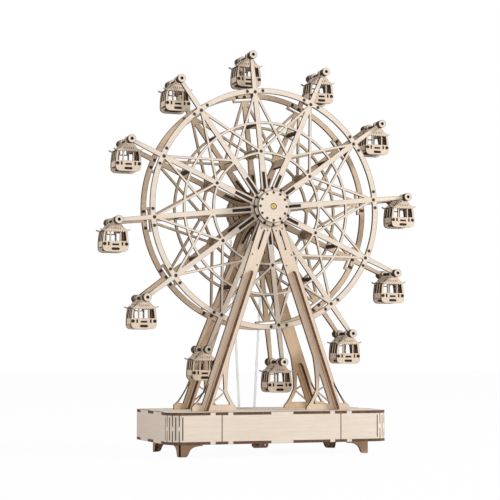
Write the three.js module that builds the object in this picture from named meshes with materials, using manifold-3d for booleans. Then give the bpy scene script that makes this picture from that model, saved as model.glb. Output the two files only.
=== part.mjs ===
// Wooden ferris wheel with a music box in its base, laser-cut from plywood and pegged together.
// Millimetres. +Z is up, +X to the right seen from the front, +Y to the back.
// The origin is on the table, under the middle of the base.

import * as THREE from 'three';
import { mergeVertices } from 'three/addons/utils/BufferGeometryUtils.js';
import Module from 'manifold-3d';

const wasm = await Module();
wasm.setup();

// Sheet and fits
const ply = 2; // thickness of every structural sheet
const thinPly = 1.5; // thickness of the sheets of a cabin
const fit = 0.3; // air round a tab, an axle or a shaft
const overrun = 1; // how far a cutting tool runs past a face, or a joined piece into another

// Base box
const baseHalfWidth = 88.2;
const baseHalfDepth = 49.3;
const baseCorner = 11.6; // outer radius of the bent corners
const floorHeight = 9.7; // underside of the bottom plate above the table
const boxInside = 19.6; // free height between the two plates
const seamHalfSpan = 47.7; // the middle panels end here and the wrap panels begin
const frontTabWidth = 18;
const smallTabWidth = 4.2;
const smallTabInset = 6.9; // from the seam to the middle of the small tabs each side of it
const sideTabWidth = 21;
const sideTabOffset = 18; // the two side tabs each side of the middle
const kerfWidth = 0.5;
const kerfLand = 2; // wood left above and below a long kerf
const kerfBridge = 3.4; // wood left between the two open kerfs of a column
const kerfColumns = 5;

// Feet
const footReach = 17; // length of each bracket of a foot
const footInsetX = 12.7; // from the edges of the base to the corner of a foot
const footInsetY = 13.8;
const footToe = 3.2; // flat that stands on the table
const footLip = 1.6; // height of the bracket at its thin end
const footTabWidth = 5;

// Towers
const cabinClearance = 12.4; // air between the deck and the lowest cabin
const wheelMidY = -3; // middle plane of the wheel
const towerSetBack = 22.5; // from the middle plane to the wheel side of a leg plate
const legFootX = 53.5; // centre line of a leg at the deck
const legWidth = 10.5;
const legHeadRadius = 10;
const legSlotWidth = 1.2;
const legSlotLength = 16;
const legSlotStart = 19; // from the axis to the top of the slot, along the leg
const ribProud = 4; // how far a rib stands off its leg plate
const ribTopRun = 52.5; // from the axis to the top of the rib, along the leg
const ribInnerRun = 127.5; // below this the rib also stands off on the wheel side
const ribNose = 2.5; // rounding of the rib's top
const footOuterX = 64; // outer corner of a leg's foot
const footInnerX = 28.2; // inner corner of a leg's foot
const footSole = 3.6; // height of the square part of the foot
const outerFlareHeight = 23; // where the outer edge leaves the leg
const outerFlareBend = 8.5; // where it turns out most
const outerFlareBendX = 59;
const innerFlareHeight = 41;
const innerWaistHeight = 15.6;
const innerWaistX = 36.2;
const innerFlareBend = 6.4;
const innerFlareBendX = 32.6;
const trussStrip = 2.6; // strip of wood round the truss openings
const trussSill = 4.8; // strip of wood under them
const trussTop = 28.5; // top of the inner opening above the deck
const trussOuterTop = 22;
const trussBrace = 1;
const legBarInset = 1.1; // the bar between the openings is this much narrower each side
const legTabWidth = 5;
const legTabInset = 3.6; // from a corner of the foot to its tab
const footRound = 2.2; // where the inner corner of the foot starts to curve in

// Hub discs of the towers
const bearingRadius = 15;
const hubCapRadius = 12.5;
const shaftRadius = 2;
const shaftBore = 0.9;
const shaftProud = 0.1;

// Wheel
const armCount = 12;
const firstArmAngle = 6.11; // degrees
const armReach = 120; // from the hub to the cabin axles
const frameSpacing = 23.4; // air between the two frames
const armWidth = 3.9;
const armRootWidth = 6;
const armTipWidth = 2.8;
const armEndRadius = 4;
const hubDiscRadius = 14.6;
const rimOuter = 94.2;
const rimInner = 90.1;
const hoopRadius = 67;
const hoopWidth = 1.9;
const rimNodeRadius = 91.2;
const midNodeRadius = 44.6;
const strutWidth = 1.8;
const barWidth = 2.4; // cross bars between the frames, at the hoop
const spoolRadius = 1.6; // cross pieces at the middle nodes of every second arm
const spoolCollarRadius = 3.3;
const spoolCollarDepth = 6;
const ribSlotLength = 15;
const ribSlotRun = 13.4;
const hubCoreRadius = 6.2;
const hubRibReach = 29;
const hubRibNose = 41;
const hubRibNoseDepth = 6;
const spacerRadius = 4.2;

// Cabins and their axles
const dowelRadius = 1.1;
const capRadius = 3.15;
const capDepth = 4.3;
const capRecess = 1;
const cabinDepth = 16;
const eyeRadius = 3;
const eaveDrop = 7.7; // eaves below the axle
const eaveHalf = 8.45;
const eaveTip = 11.5;
const eaveThickness = 1.2;
const beltDrop = 17;
const beltHalf = 10;
const chamferDrop = 20.2;
const keelDrop = 23.7;
const keelHalf = 6;
const windowTop = 8.9;
const windowArch = 0.7;
const windowSill = 15.4;
const windowHalfTop = 7.5;
const windowHalfSill = 8.2;
const mullionX = 2.7;
const mullionWidth = 1.1;
const sidePanelDrop = 20;
const floorDrop = 22.4;

// Belt and pulleys
const beltY = 30;
const beltThickness = 1.6;
const hubBeltRadius = 15;
const driveBeltRadius = 5.8;
const driveHeight = 22; // axis of the cylinder above the table
const flangeProud = 1.3; // flange beyond the belt's outer face
const flangeThickness = 1.2;
const beltSlotHalf = 9;
const beltSlotWidth = 5;

// Music movement
const bedThickness = 1.5;
const bedLeft = 24;
const bedRight = 19;
const bedFront = 13;
const bedBack = 27;
const barrelRadius = 9.5;
const barrelHeight = 11.5;
const barrelToothProud = 0.3;
const barrelToothHeight = 2;
const barrelTeeth = 12;
const barrelSocketRadius = 2.2;
const barrelSocketDepth = 4;
const cylinderRadius = 6;
const cylinderFront = 14.9;
const cylinderBack = 24.9;
const arborRadius = 1.2;
const pinionRadius = 3.3;
const lugThickness = 1;
const lugHalf = 2.6;
const combTeeth = 18;
const combThickness = 1;
const combToothLength = 7;
const combHeel = 4.6;
const combSlit = 0.28;
const governorWidth = 8;
const governorDepth = 10;
const governorHeight = 9;
const governorRounding = 2;
const governorX = 13.5;
const governorY = 18;

// Winding key
const keySpanLeft = 6.4;
const keySpanRight = 7.1;
const keyBottom = 3.4;
const keyWingHeight = 4.6;
const keyThickness = 1.2;
const keyStemRadius = 1.7;
const keyKnobRadius = 1.6;
const keyHoleRadius = 3.2;

// Heights and places that follow from the sizes above
const floorTop = floorHeight + ply;
const deckBottom = floorTop + boxInside;
const deckTop = deckBottom + ply;
const hubHeight = deckTop + cabinClearance + keelDrop + armReach; // the wheel's axis
const footCornerX = baseHalfWidth - footInsetX;
const footCornerY = baseHalfDepth - footInsetY;
const legLean = Math.atan2(legFootX, hubHeight - deckTop);
const legRunToDeck = Math.hypot(legFootX, hubHeight - deckTop);
const frontFrameY = wheelMidY - frameSpacing / 2 - ply;
const backFrameY = wheelMidY + frameSpacing / 2;
const pulleyBack = beltY + beltThickness / 2 + fit + flangeThickness;
const bedTop = floorTop + bedThickness;
const barrelBottom = bedTop + fit;
const barrelTop = barrelBottom + barrelHeight;
const barrelTip = barrelRadius + barrelToothProud;

// Round parts get a facet count that suits their size
const fine = 36; // a whole number of facets between two arms
const medium = 24;
const coarse = 12;
const small = 8;
const tiny = 6;
const curveSteps = 3; // facets of a free curve; an arc gets twice as many
const mergeTolerance = fit / 300; // flat faces that meet closer than this become one

const birch = { color: 0xe9dbcb, roughness: 0.75, metalness: 0 };
const burnt = { color: 0x4a3020, roughness: 0.85, metalness: 0 };
const brass = { color: 0xd9b24a, roughness: 0.3, metalness: 1 };
const steel = { color: 0x9a9a98, roughness: 0.4, metalness: 1 };
const darkSteel = { color: 0x3a3a3c, roughness: 0.45, metalness: 1 };
const silicone = { color: 0xd8dcdc, roughness: 0.5, metalness: 0 };

const part = new THREE.Group();

function add(name, shape, finish, parent = part) {
  const geometry = shape.isBufferGeometry ? shape : toGeometry(shape);
  const mesh = new THREE.Mesh(geometry, new THREE.MeshStandardMaterial(finish));
  mesh.name = name;
  parent.add(mesh);
  return mesh;
}

// A three.js geometry as a solid for joining and cutting
function toSolid(geometry) {
  geometry.deleteAttribute('normal');
  geometry.deleteAttribute('uv');
  const merged = mergeVertices(geometry);
  const index = merged.index.array;
  const corners = [];
  for (let i = 0; i < index.length; i += 3) {
    const [a, b, c] = [index[i], index[i + 1], index[i + 2]];
    if (a !== b && b !== c && c !== a) corners.push(a, b, c);
  }
  const mesh = new wasm.Mesh({
    numProp: 3,
    vertProperties: Float32Array.from(merged.attributes.position.array),
    triVerts: Uint32Array.from(corners),
  });
  return new wasm.Manifold(mesh);
}

function toGeometry(solid) {
  const mesh = solid.asOriginal().simplify(mergeTolerance).getMesh();
  const geometry = new THREE.BufferGeometry();
  geometry.setAttribute('position', new THREE.BufferAttribute(mesh.vertProperties, 3));
  geometry.setIndex(new THREE.BufferAttribute(mesh.triVerts, 1));
  const flat = geometry.toNonIndexed();
  flat.computeVertexNormals();
  return flat;
}

function join(solids) {
  return solids.reduce((whole, solid) => whole.add(solid));
}

function cut(solid, tools) {
  return tools.reduce((whole, tool) => whole.subtract(tool), solid);
}

// A block between two corners
function block(low, high) {
  const [x0, y0, z0] = low;
  const [x1, y1, z1] = high;
  const geometry = new THREE.BoxGeometry(x1 - x0, y1 - y0, z1 - z0);
  geometry.translate((x0 + x1) / 2, (y0 + y1) / 2, (z0 + z1) / 2);
  return toSolid(geometry);
}

function outline(points) {
  return new THREE.Shape(points.map(([x, y]) => new THREE.Vector2(x, y)));
}

function circle(radius, x = 0, y = 0) {
  return new THREE.Shape().absarc(x, y, radius, 0, 2 * Math.PI, false);
}

function extrude(shape, depth, curveSegments = curveSteps) {
  const steps = { depth, bevelEnabled: false, steps: 1, curveSegments };
  return new THREE.ExtrudeGeometry(shape, steps);
}

// A flat sheet drawn from above, standing on height z
function flatSheet(shape, z, thickness = ply, curveSegments = curveSteps) {
  return toSolid(extrude(shape, thickness, curveSegments).translate(0, 0, z));
}

// A sheet drawn from the front as (x, z), with its front face at y
function frontSheet(shape, y, thickness = ply, curveSegments = curveSteps) {
  const geometry = extrude(shape, thickness, curveSegments);
  geometry.rotateX(Math.PI / 2);
  return toSolid(geometry.translate(0, y + thickness, 0));
}

// A sheet drawn from the side as (y, z), centred on x
function sideSheet(shape, x, thickness = ply, curveSegments = curveSteps) {
  const geometry = extrude(shape, thickness, curveSegments);
  const axes = new THREE.Matrix4().makeBasis(
    new THREE.Vector3(0, 1, 0), new THREE.Vector3(0, 0, 1), new THREE.Vector3(1, 0, 0));
  geometry.applyMatrix4(axes);
  return toSolid(geometry.translate(x - thickness / 2, 0, 0));
}

// A turned piece about the Y axis from its half section, given as (radius, y) from front to back
function turned(section, segments) {
  const points = section.map(([radius, y]) => new THREE.Vector2(radius, y));
  return toSolid(new THREE.LatheGeometry(points, segments));
}

// The same about the Z axis, given as (radius, z) from bottom to top
function turnedUpright(section, segments) {
  const points = section.map(([radius, z]) => new THREE.Vector2(radius, z));
  return toSolid(new THREE.LatheGeometry(points, segments).rotateX(Math.PI / 2));
}

function disc(radius, y0, y1, segments) {
  return turned([[0, y0], [radius, y0], [radius, y1], [0, y1]], segments);
}

function post(radius, z0, z1, segments) {
  return turnedUpright([[0, z0], [radius, z0], [radius, z1], [0, z1]], segments);
}

function ring(inner, outer, y0, y1, segments) {
  return turned([[inner, y0], [outer, y0], [outer, y1], [inner, y1], [inner, y0]], segments);
}

// Base box
function roundedPlate() {
  const shape = new THREE.Shape();
  const x = baseHalfWidth - baseCorner;
  const y = baseHalfDepth - baseCorner;
  shape.absarc(x, y, baseCorner, 0, Math.PI / 2, false);
  shape.absarc(-x, y, baseCorner, Math.PI / 2, Math.PI, false);
  shape.absarc(-x, -y, baseCorner, Math.PI, 1.5 * Math.PI, false);
  shape.absarc(x, -y, baseCorner, 1.5 * Math.PI, 2 * Math.PI, false);
  return shape;
}

// Tabs along the front edge, as [centre x, width]; the back has the same
const middleTabs = [
  [0, frontTabWidth],
  [seamHalfSpan - smallTabInset, smallTabWidth],
  [smallTabInset - seamHalfSpan, smallTabWidth],
];
const wrapTabs = [[-seamHalfSpan - smallTabInset, smallTabWidth]];

function edgeTabs(tabs, grow, z0, z1) {
  const depth = ply + grow;
  const edge = baseHalfDepth + (grow > 0 ? overrun : 0);
  return tabs.map(([x, width]) => block(
    [x - width / 2 - grow, -edge, z0], [x + width / 2 + grow, -baseHalfDepth + depth, z1]));
}

function sideTabs(grow, z0, z1) {
  const depth = ply + grow;
  const edge = baseHalfWidth + (grow > 0 ? overrun : 0);
  const half = sideTabWidth / 2 + grow;
  return [-sideTabOffset, sideTabOffset].map((y) => block(
    [-edge, y - half, z0], [-baseHalfWidth + depth, y + half, z1]));
}

function halfTurned(solids) {
  return solids.map((solid) => solid.rotate([0, 0, 180]));
}

function tabNotches(z0, z1) {
  const half = [
    ...edgeTabs(middleTabs, fit, z0, z1),
    ...edgeTabs(wrapTabs, fit, z0, z1),
    ...edgeTabs([[seamHalfSpan + smallTabInset, smallTabWidth]], fit, z0, z1),
    ...sideTabs(fit, z0, z1),
  ];
  return [...half, ...halfTurned(half)];
}

function middlePanel() {
  const half = seamHalfSpan - fit / 2;
  const body = block([-half, -baseHalfDepth, floorTop], [half, -baseHalfDepth + ply, deckBottom]);
  return join([body, ...edgeTabs(middleTabs, 0, floorHeight, deckTop)]);
}

// Points of an arc, with the facets that the kerfs of a bent corner need
function cornerArc(cornerY, radius, from, to) {
  const facets = 2 * kerfColumns + 1;
  return Array.from({ length: facets + 1 }, (_, i) => {
    const angle = from + (to - from) * i / facets;
    return [-baseHalfWidth + baseCorner + radius * Math.cos(angle), cornerY + radius * Math.sin(angle)];
  });
}

// The left wrap panel seen from above: a band that goes round the two left corners
function wrapBand() {
  const y = baseHalfDepth - baseCorner;
  const end = -seamHalfSpan - fit / 2;
  const inner = baseCorner - ply;
  return outline([
    [end, baseHalfDepth],
    ...cornerArc(y, baseCorner, Math.PI / 2, Math.PI),
    ...cornerArc(-y, baseCorner, Math.PI, 1.5 * Math.PI),
    [end, -baseHalfDepth],
    [end, -baseHalfDepth + ply],
    ...cornerArc(-y, inner, 1.5 * Math.PI, Math.PI),
    ...cornerArc(y, inner, Math.PI, Math.PI / 2),
    [end, baseHalfDepth - ply],
  ]);
}

// Kerfs let the panel bend: closed slits alternate with pairs that are open at the edges
function cornerKerfs(cornerY, startAngle) {
  const kerfs = [];
  const facet = Math.PI / 2 / (2 * kerfColumns + 1);
  for (let column = 0; column < kerfColumns; column += 1) {
    const turn = startAngle + (2 * column + 1.5) * facet;
    const spans = column % 2 === 0
      ? [[floorTop + kerfLand, deckBottom - kerfLand]]
      : [[floorTop - overrun, floorTop + (boxInside - kerfBridge) / 2],
        [deckBottom - (boxInside - kerfBridge) / 2, deckBottom + overrun]];
    for (const [low, high] of spans) {
      const geometry = new THREE.BoxGeometry(ply + 2 * overrun, kerfWidth, high - low);
      geometry.translate(baseCorner - ply / 2, 0, (low + high) / 2);
      geometry.rotateZ(turn);
      kerfs.push(toSolid(geometry.translate(-baseHalfWidth + baseCorner, cornerY, 0)));
    }
  }
  return kerfs;
}

function wrapPanel() {
  const band = flatSheet(wrapBand(), floorTop, boxInside);
  const cornerY = baseHalfDepth - baseCorner;
  const bent = cut(band, [
    ...cornerKerfs(cornerY, Math.PI / 2),
    ...cornerKerfs(-cornerY, Math.PI),
  ]);
  const frontTabs = edgeTabs(wrapTabs, 0, floorHeight, deckTop);
  const backTabs = frontTabs.map((tab) => tab.mirror([0, 1, 0]));
  return join([bent, ...frontTabs, ...backTabs, ...sideTabs(0, floorHeight, deckTop)]);
}

// Feet: two scroll brackets that meet at a corner, standing under the bottom plate
function bracketOutline() {
  const shape = new THREE.Shape();
  shape.moveTo(0, 0);
  shape.lineTo(footToe, 0);
  shape.bezierCurveTo(footReach / 2, 0, footToe, floorHeight - footLip, footReach, floorHeight - footLip);
  shape.lineTo(footReach, floorHeight);
  shape.lineTo(0, floorHeight);
  return shape;
}

function footTab(grow) {
  const middle = footReach / 2;
  return block([middle - footTabWidth / 2 - grow, -ply / 2 - grow, floorHeight - overrun],
    [middle + footTabWidth / 2 + grow, ply / 2 + grow, floorTop + (grow > 0 ? overrun : 0)]);
}

function foot(signX, signY) {
  const alongX = frontSheet(bracketOutline(), -ply / 2).add(footTab(0));
  const alongY = sideSheet(bracketOutline(), 0);
  return placeFoot(alongX.add(alongY), signX, signY);
}

function placeFoot(solid, signX, signY) {
  const facing = signX > 0 ? solid.mirror([1, 0, 0]) : solid;
  const placed = signY > 0 ? facing.mirror([0, 1, 0]) : facing;
  return placed.translate([signX * footCornerX, signY * footCornerY, 0]);
}

const corners = [[-1, -1, 'front_left'], [1, -1, 'front_right'], [-1, 1, 'back_left'], [1, 1, 'back_right']];

function bottomPlate() {
  const plate = flatSheet(roundedPlate(), floorHeight);
  const footSlots = corners.map(([signX, signY]) => placeFoot(footTab(fit), signX, signY));
  const keyHole = post(keyHoleRadius, floorHeight - overrun, floorTop + overrun, coarse);
  return cut(plate, [...tabNotches(floorHeight - overrun, floorTop + overrun), ...footSlots, keyHole]);
}

function deckPlate() {
  const plate = flatSheet(roundedPlate(), deckBottom);
  const low = deckBottom - overrun;
  const high = deckTop + overrun;
  const beltSlot = block([-beltSlotHalf, beltY - beltSlotWidth / 2, low],
    [beltSlotHalf, beltY + beltSlotWidth / 2, high]);
  const legSlots = corners.flatMap(([signX, signY]) => legTabs(signX, towerFront(signY), fit, low, high));
  return cut(plate, [...tabNotches(low, high), beltSlot, ...legSlots]);
}

// Towers: a leg plate faces the front; its foot spreads into a truss on both sides
function towerFront(signY) {
  return signY < 0 ? wheelMidY - towerSetBack - ply : wheelMidY + towerSetBack;
}

function legTabs(signX, y, grow, z0, z1) {
  const places = [footInnerX + legTabInset, footOuterX - legTabInset - legTabWidth];
  return places.map((start) => {
    const x0 = start - grow;
    const x1 = start + legTabWidth + grow;
    const [low, high] = signX > 0 ? [x0, x1] : [-x1, -x0];
    return block([low, y - grow, z0], [high, y + ply + grow, z1]);
  });
}

// x of the leg's centre line at a height, moved sideways by an offset square to the leg
function legX(z, offset = 0) {
  return (hubHeight - z) * Math.tan(legLean) + offset / Math.cos(legLean);
}

function legOutline() {
  const half = legWidth / 2;
  const flareTop = deckTop + outerFlareHeight;
  const innerTop = deckTop + innerFlareHeight;
  const waist = deckTop + innerWaistHeight;
  const shape = new THREE.Shape();
  shape.moveTo(legX(hubHeight, half), hubHeight);
  shape.lineTo(legX(flareTop, half), flareTop);
  shape.quadraticCurveTo(legX(deckTop + innerWaistHeight, half), waist,
    outerFlareBendX, deckTop + outerFlareBend);
  shape.lineTo(footOuterX, deckTop + footSole);
  shape.lineTo(footOuterX, deckTop);
  shape.lineTo(footInnerX, deckTop);
  shape.lineTo(footInnerX, deckTop + footRound);
  shape.quadraticCurveTo(innerFlareBendX, deckTop + innerFlareBend, innerWaistX, waist);
  shape.quadraticCurveTo(innerWaistX, (waist + innerTop) / 2, legX(innerTop, -half), innerTop);
  shape.lineTo(legX(hubHeight, -half), hubHeight);
  return shape;
}

function innerTruss() {
  const sill = deckTop + trussSill;
  const top = deckTop + trussTop;
  const waist = deckTop + innerWaistHeight;
  const bar = -legWidth / 2 + legBarInset;
  return outline([
    [legX(top, bar), top],
    [innerWaistX + trussStrip, waist + trussStrip],
    [innerWaistX + trussStrip, waist],
    [innerFlareBendX + trussStrip, sill + trussStrip],
    [innerFlareBendX + trussStrip / 2, sill],
    [legX(sill, bar), sill],
  ]);
}

function outerTruss() {
  const sill = deckTop + trussSill;
  const top = deckTop + trussOuterTop;
  const bar = legWidth / 2 - legBarInset;
  return outline([
    [legX(top, bar), top],
    [legX(sill, bar), sill],
    [outerFlareBendX + trussStrip / 2, sill],
    [outerFlareBendX - trussStrip, deckTop + outerFlareBend],
  ]);
}

// Two thin braces from the waist of the flare to the leg
function trussBraces(y) {
  const waist = deckTop + innerWaistHeight;
  const from = new THREE.Vector2(innerWaistX + trussStrip / 2, waist - trussStrip / 2);
  const bar = -legWidth / 2 + 2 * legBarInset;
  const ends = [waist + trussStrip, deckTop + trussSill + trussBrace];
  return ends.map((z) => {
    const to = new THREE.Vector2(legX(z, bar), z);
    const length = from.distanceTo(to);
    const geometry = new THREE.BoxGeometry(length, ply, trussBrace);
    geometry.rotateY(-Math.atan2(to.y - from.y, to.x - from.x));
    geometry.translate((from.x + to.x) / 2, y + ply / 2, (from.y + to.y) / 2);
    return toSolid(geometry);
  });
}

// A block along the leg, from one run to another measured from the wheel axis
function alongLeg(run0, run1, width, y0, y1) {
  const geometry = new THREE.BoxGeometry(width, y1 - y0, run1 - run0);
  geometry.translate(0, (y0 + y1) / 2, -(run0 + run1) / 2);
  geometry.rotateY(-legLean);
  return toSolid(geometry.translate(0, 0, hubHeight));
}

function legPlate(signX, signY) {
  const y = towerFront(signY);
  const body = frontSheet(legOutline(), y);
  const head = disc(legHeadRadius, y, y + ply, coarse).translate([0, 0, hubHeight]);
  const whole = join([cut(body.add(head), [
    frontSheet(innerTruss(), y - overrun, ply + 2 * overrun),
    frontSheet(outerTruss(), y - overrun, ply + 2 * overrun),
  ]), ...trussBraces(y)]);
  const farSide = armReach;
  const cuts = [
    block([-farSide, y - overrun, deckTop], [fit / 2, y + ply + overrun, hubHeight + farSide]),
    disc(shaftRadius + fit, y - overrun, y + ply + overrun, coarse).translate([0, 0, hubHeight]),
    alongLeg(legSlotStart, legSlotStart + legSlotLength, legSlotWidth, y - overrun, y + ply + overrun),
    alongLeg(ribInnerRun - fit, legRunToDeck + legWidth, ply + 2 * fit, y - overrun, y + ply + overrun),
  ];
  const plate = join([cut(whole, cuts), ...legTabs(1, y, 0, deckBottom, deckTop)]);
  return signX > 0 ? plate : plate.mirror([1, 0, 0]);
}

// A rib stands square on the leg plate; its top is rounded, and low down it passes through the plate
function legRib(signX, signY) {
  const away = -signY;
  const faceY = signY < 0 ? towerFront(signY) : towerFront(signY) + ply;
  const wheelY = faceY + away * ply;
  const shape = new THREE.Shape();
  shape.moveTo(faceY, -ribTopRun);
  shape.lineTo(faceY - away * (ribProud - ribNose), -ribTopRun);
  shape.quadraticCurveTo(faceY - away * ribProud, -ribTopRun, faceY - away * ribProud, -ribTopRun - ribNose);
  shape.lineTo(faceY - away * ribProud, -legRunToDeck - legWidth);
  shape.lineTo(wheelY + away * ribProud, -legRunToDeck - legWidth);
  shape.lineTo(wheelY + away * ribProud, -ribInnerRun - ribNose);
  shape.quadraticCurveTo(wheelY + away * ribProud, -ribInnerRun, wheelY + away * fit, -ribInnerRun);
  shape.lineTo(faceY, -ribInnerRun);
  const upright = sideSheet(shape, 0);
  const leaning = upright.rotate([0, -THREE.MathUtils.radToDeg(legLean), 0]).translate([0, 0, hubHeight]);
  const below = block([0, -baseHalfDepth, floorHeight], [baseHalfWidth, baseHalfDepth, deckTop]);
  const rib = leaning.subtract(below);
  return signX > 0 ? rib : rib.mirror([1, 0, 0]);
}

function hubDisc(radius, y) {
  return ring(shaftRadius + fit, radius, y, y + ply, medium).translate([0, 0, hubHeight]);
}

// Wheel, drawn about its own axis; each arm lies along +X before it is turned into place
function armAngle(arm) {
  return firstArmAngle + arm * 360 / armCount;
}

function aboutHub(solid, arm) {
  return solid.rotate([0, -armAngle(arm), 0]);
}

function armOutline() {
  const tip = armTipWidth / 2;
  const middle = armWidth / 2;
  const root = armRootWidth / 2;
  return outline([
    [0, -root], [midNodeRadius, -middle], [rimNodeRadius, -middle], [armReach, -tip],
    [armReach, tip], [rimNodeRadius, middle], [midNodeRadius, middle], [0, root],
  ]);
}

// A strut from the rim node of one arm to the middle node of the next, on either side
function strut(y, side) {
  const step = 2 * Math.PI / armCount;
  const from = new THREE.Vector2(rimNodeRadius, 0);
  const to = new THREE.Vector2(midNodeRadius * Math.cos(step), side * midNodeRadius * Math.sin(step));
  const geometry = new THREE.BoxGeometry(from.distanceTo(to), ply, strutWidth);
  geometry.rotateY(-Math.atan2(to.y - from.y, to.x - from.x));
  return toSolid(geometry.translate((from.x + to.x) / 2, y + ply / 2, (from.y + to.y) / 2));
}

function wheelFrame(y) {
  const back = y + ply;
  const sheets = [
    aboutHub(disc(hubDiscRadius, y, back, medium), 0),
    aboutHub(ring(rimInner, rimOuter, y, back, fine), 0),
    aboutHub(ring(hoopRadius - hoopWidth / 2, hoopRadius + hoopWidth / 2, y, back, fine), 0),
  ];
  const holes = [disc(shaftRadius + fit, y - overrun, back + overrun, coarse)];
  const ribSlot = block([ribSlotRun, y - overrun, -ply / 2 - fit],
    [ribSlotRun + ribSlotLength, back + overrun, ply / 2 + fit]);
  for (let arm = 0; arm < armCount; arm += 1) {
    sheets.push(aboutHub(frontSheet(armOutline(), y), arm));
    sheets.push(aboutHub(disc(armEndRadius, y, back, small).translate([armReach, 0, 0]), arm));
    sheets.push(aboutHub(strut(y, 1), arm), aboutHub(strut(y, -1), arm));
    holes.push(aboutHub(disc(dowelRadius + fit, y - overrun, back + overrun, tiny)
      .translate([armReach, 0, 0]), arm));
    holes.push(aboutHub(ribSlot, arm));
  }
  return cut(join(sheets), holes);
}

// Cross pieces stand on the back frame and meet the front one: a bar at the hoop of every arm,
// and a collared spool at the middle node of every second one
function crossPieces() {
  const y0 = frontFrameY + ply;
  const y1 = backFrameY + overrun;
  const half = barWidth / 2;
  const bar = block([hoopRadius - half, y0, -half], [hoopRadius + half, y1, half]);
  const spool = disc(spoolRadius, y0, y1, tiny)
    .add(disc(spoolCollarRadius, backFrameY - spoolCollarDepth, y1, small))
    .translate([midNodeRadius, 0, 0]);
  const pieces = [];
  for (let arm = 0; arm < armCount; arm += 1) {
    pieces.push(aboutHub(bar, arm));
    if (arm % 2 === 1) pieces.push(aboutHub(spool, arm));
  }
  return pieces;
}

// Twelve deep ribs round a core, each keyed into the slots of both frames
function hubRibs() {
  const y0 = frontFrameY + ply;
  const y1 = backFrameY;
  const noseFront = wheelMidY - hubRibNoseDepth / 2;
  const noseBack = wheelMidY + hubRibNoseDepth / 2;
  const shape = outline([
    [hubCoreRadius - overrun, y0], [hubRibReach, y0], [hubRibNose, noseFront],
    [hubRibNose, noseBack], [hubRibReach, y1], [hubCoreRadius - overrun, y1],
  ]);
  const rib = toSolid(extrude(shape, ply).translate(0, 0, -ply / 2));
  const tabs = block([ribSlotRun + fit, y0 - ply, -ply / 2],
    [ribSlotRun + ribSlotLength - fit, y1 + ply, ply / 2]);
  const core = ring(shaftRadius + fit, hubCoreRadius, y0, y1, coarse);
  const ribs = [];
  for (let arm = 0; arm < armCount; arm += 1) ribs.push(aboutHub(rib.add(tabs), arm));
  return join([core, ...ribs]);
}

function spacer(y0, y1) {
  return ring(shaftRadius + fit, spacerRadius, y0, y1, coarse);
}

function wheelShaft(front, back) {
  return turned([
    [0, front + capRecess], [shaftBore, front + capRecess], [shaftBore, front], [shaftRadius, front],
    [shaftRadius, back], [0, back],
  ], coarse);
}

function pulley(beltRadius, bore, segments) {
  const groove = beltRadius - beltThickness / 2 - fit;
  const flange = beltRadius + beltThickness / 2 + flangeProud;
  const half = beltThickness / 2 + fit;
  const side = half + flangeThickness;
  const inner = bore + fit;
  return turned([
    [inner, beltY - side], [flange, beltY - side], [flange, beltY - half], [groove, beltY - half],
    [groove, beltY + half], [flange, beltY + half], [flange, beltY + side], [inner, beltY + side],
    [inner, beltY - side],
  ], segments);
}

// The belt's line goes round both pulleys; its section is square
function beltLoop(offset) {
  const span = hubHeight - driveHeight;
  const lean = Math.asin((hubBeltRadius - driveBeltRadius) / span);
  const loop = new THREE.Shape();
  loop.absarc(0, hubHeight, hubBeltRadius + offset, -lean, Math.PI + lean, false);
  loop.absarc(0, driveHeight, driveBeltRadius + offset, Math.PI + lean, 2 * Math.PI - lean, false);
  return loop;
}

function belt() {
  const half = beltThickness / 2;
  const front = beltY - half;
  const outer = frontSheet(beltLoop(half), front, beltThickness, tiny);
  return outer.subtract(frontSheet(beltLoop(-half), front - overrun, beltThickness + 2 * overrun, tiny));
}

// Cabins, drawn about the axle they hang on
function cabinOutline() {
  const shoulder = Math.PI / 6;
  const shape = new THREE.Shape();
  shape.absarc(0, 0, eyeRadius, -shoulder, Math.PI + shoulder, false);
  shape.lineTo(-eaveHalf, -eaveDrop);
  shape.lineTo(-beltHalf, -beltDrop);
  shape.lineTo(-beltHalf, -chamferDrop);
  shape.lineTo(-keelHalf, -keelDrop);
  shape.lineTo(keelHalf, -keelDrop);
  shape.lineTo(beltHalf, -chamferDrop);
  shape.lineTo(beltHalf, -beltDrop);
  shape.lineTo(eaveHalf, -eaveDrop);
  return shape;
}

function cabinWindows() {
  const inner = mullionX - mullionWidth / 2;
  const outer = mullionX + mullionWidth / 2;
  const left = outline([
    [-windowHalfTop, -windowTop], [-windowHalfSill, -windowSill], [-outer, -windowSill],
    [-outer, -windowTop + windowArch / 2],
  ]);
  const middle = outline([
    [-inner, -windowTop + windowArch], [-inner, -windowSill], [inner, -windowSill],
    [inner, -windowTop + windowArch],
  ]);
  const right = outline([
    [outer, -windowTop + windowArch / 2], [outer, -windowSill], [windowHalfSill, -windowSill],
    [windowHalfTop, -windowTop],
  ]);
  return [left, middle, right];
}

function cabin() {
  const half = cabinDepth / 2;
  const profile = cabinOutline();
  const ends = frontSheet(profile, -half, thinPly).add(frontSheet(profile, half - thinPly, thinPly));
  const openings = [circle(dowelRadius + fit), ...cabinWindows()];
  const pieces = [
    cut(ends, openings.map((shape) => frontSheet(shape, -half - overrun, cabinDepth + 2 * overrun))),
    block([-eaveTip, -half + thinPly, -eaveDrop], [eaveTip, half - thinPly, -eaveDrop + eaveThickness]),
    block([-keelHalf, -half + thinPly, -floorDrop], [keelHalf, half - thinPly, -floorDrop + thinPly]),
  ];
  for (const side of [-1, 1]) {
    const [x0, x1] = side > 0 ? [beltHalf - thinPly, beltHalf] : [-beltHalf, -beltHalf + thinPly];
    pieces.push(block([x0, -half + thinPly, -sidePanelDrop], [x1, half - thinPly, -windowSill]));
  }
  return join(pieces);
}

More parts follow.
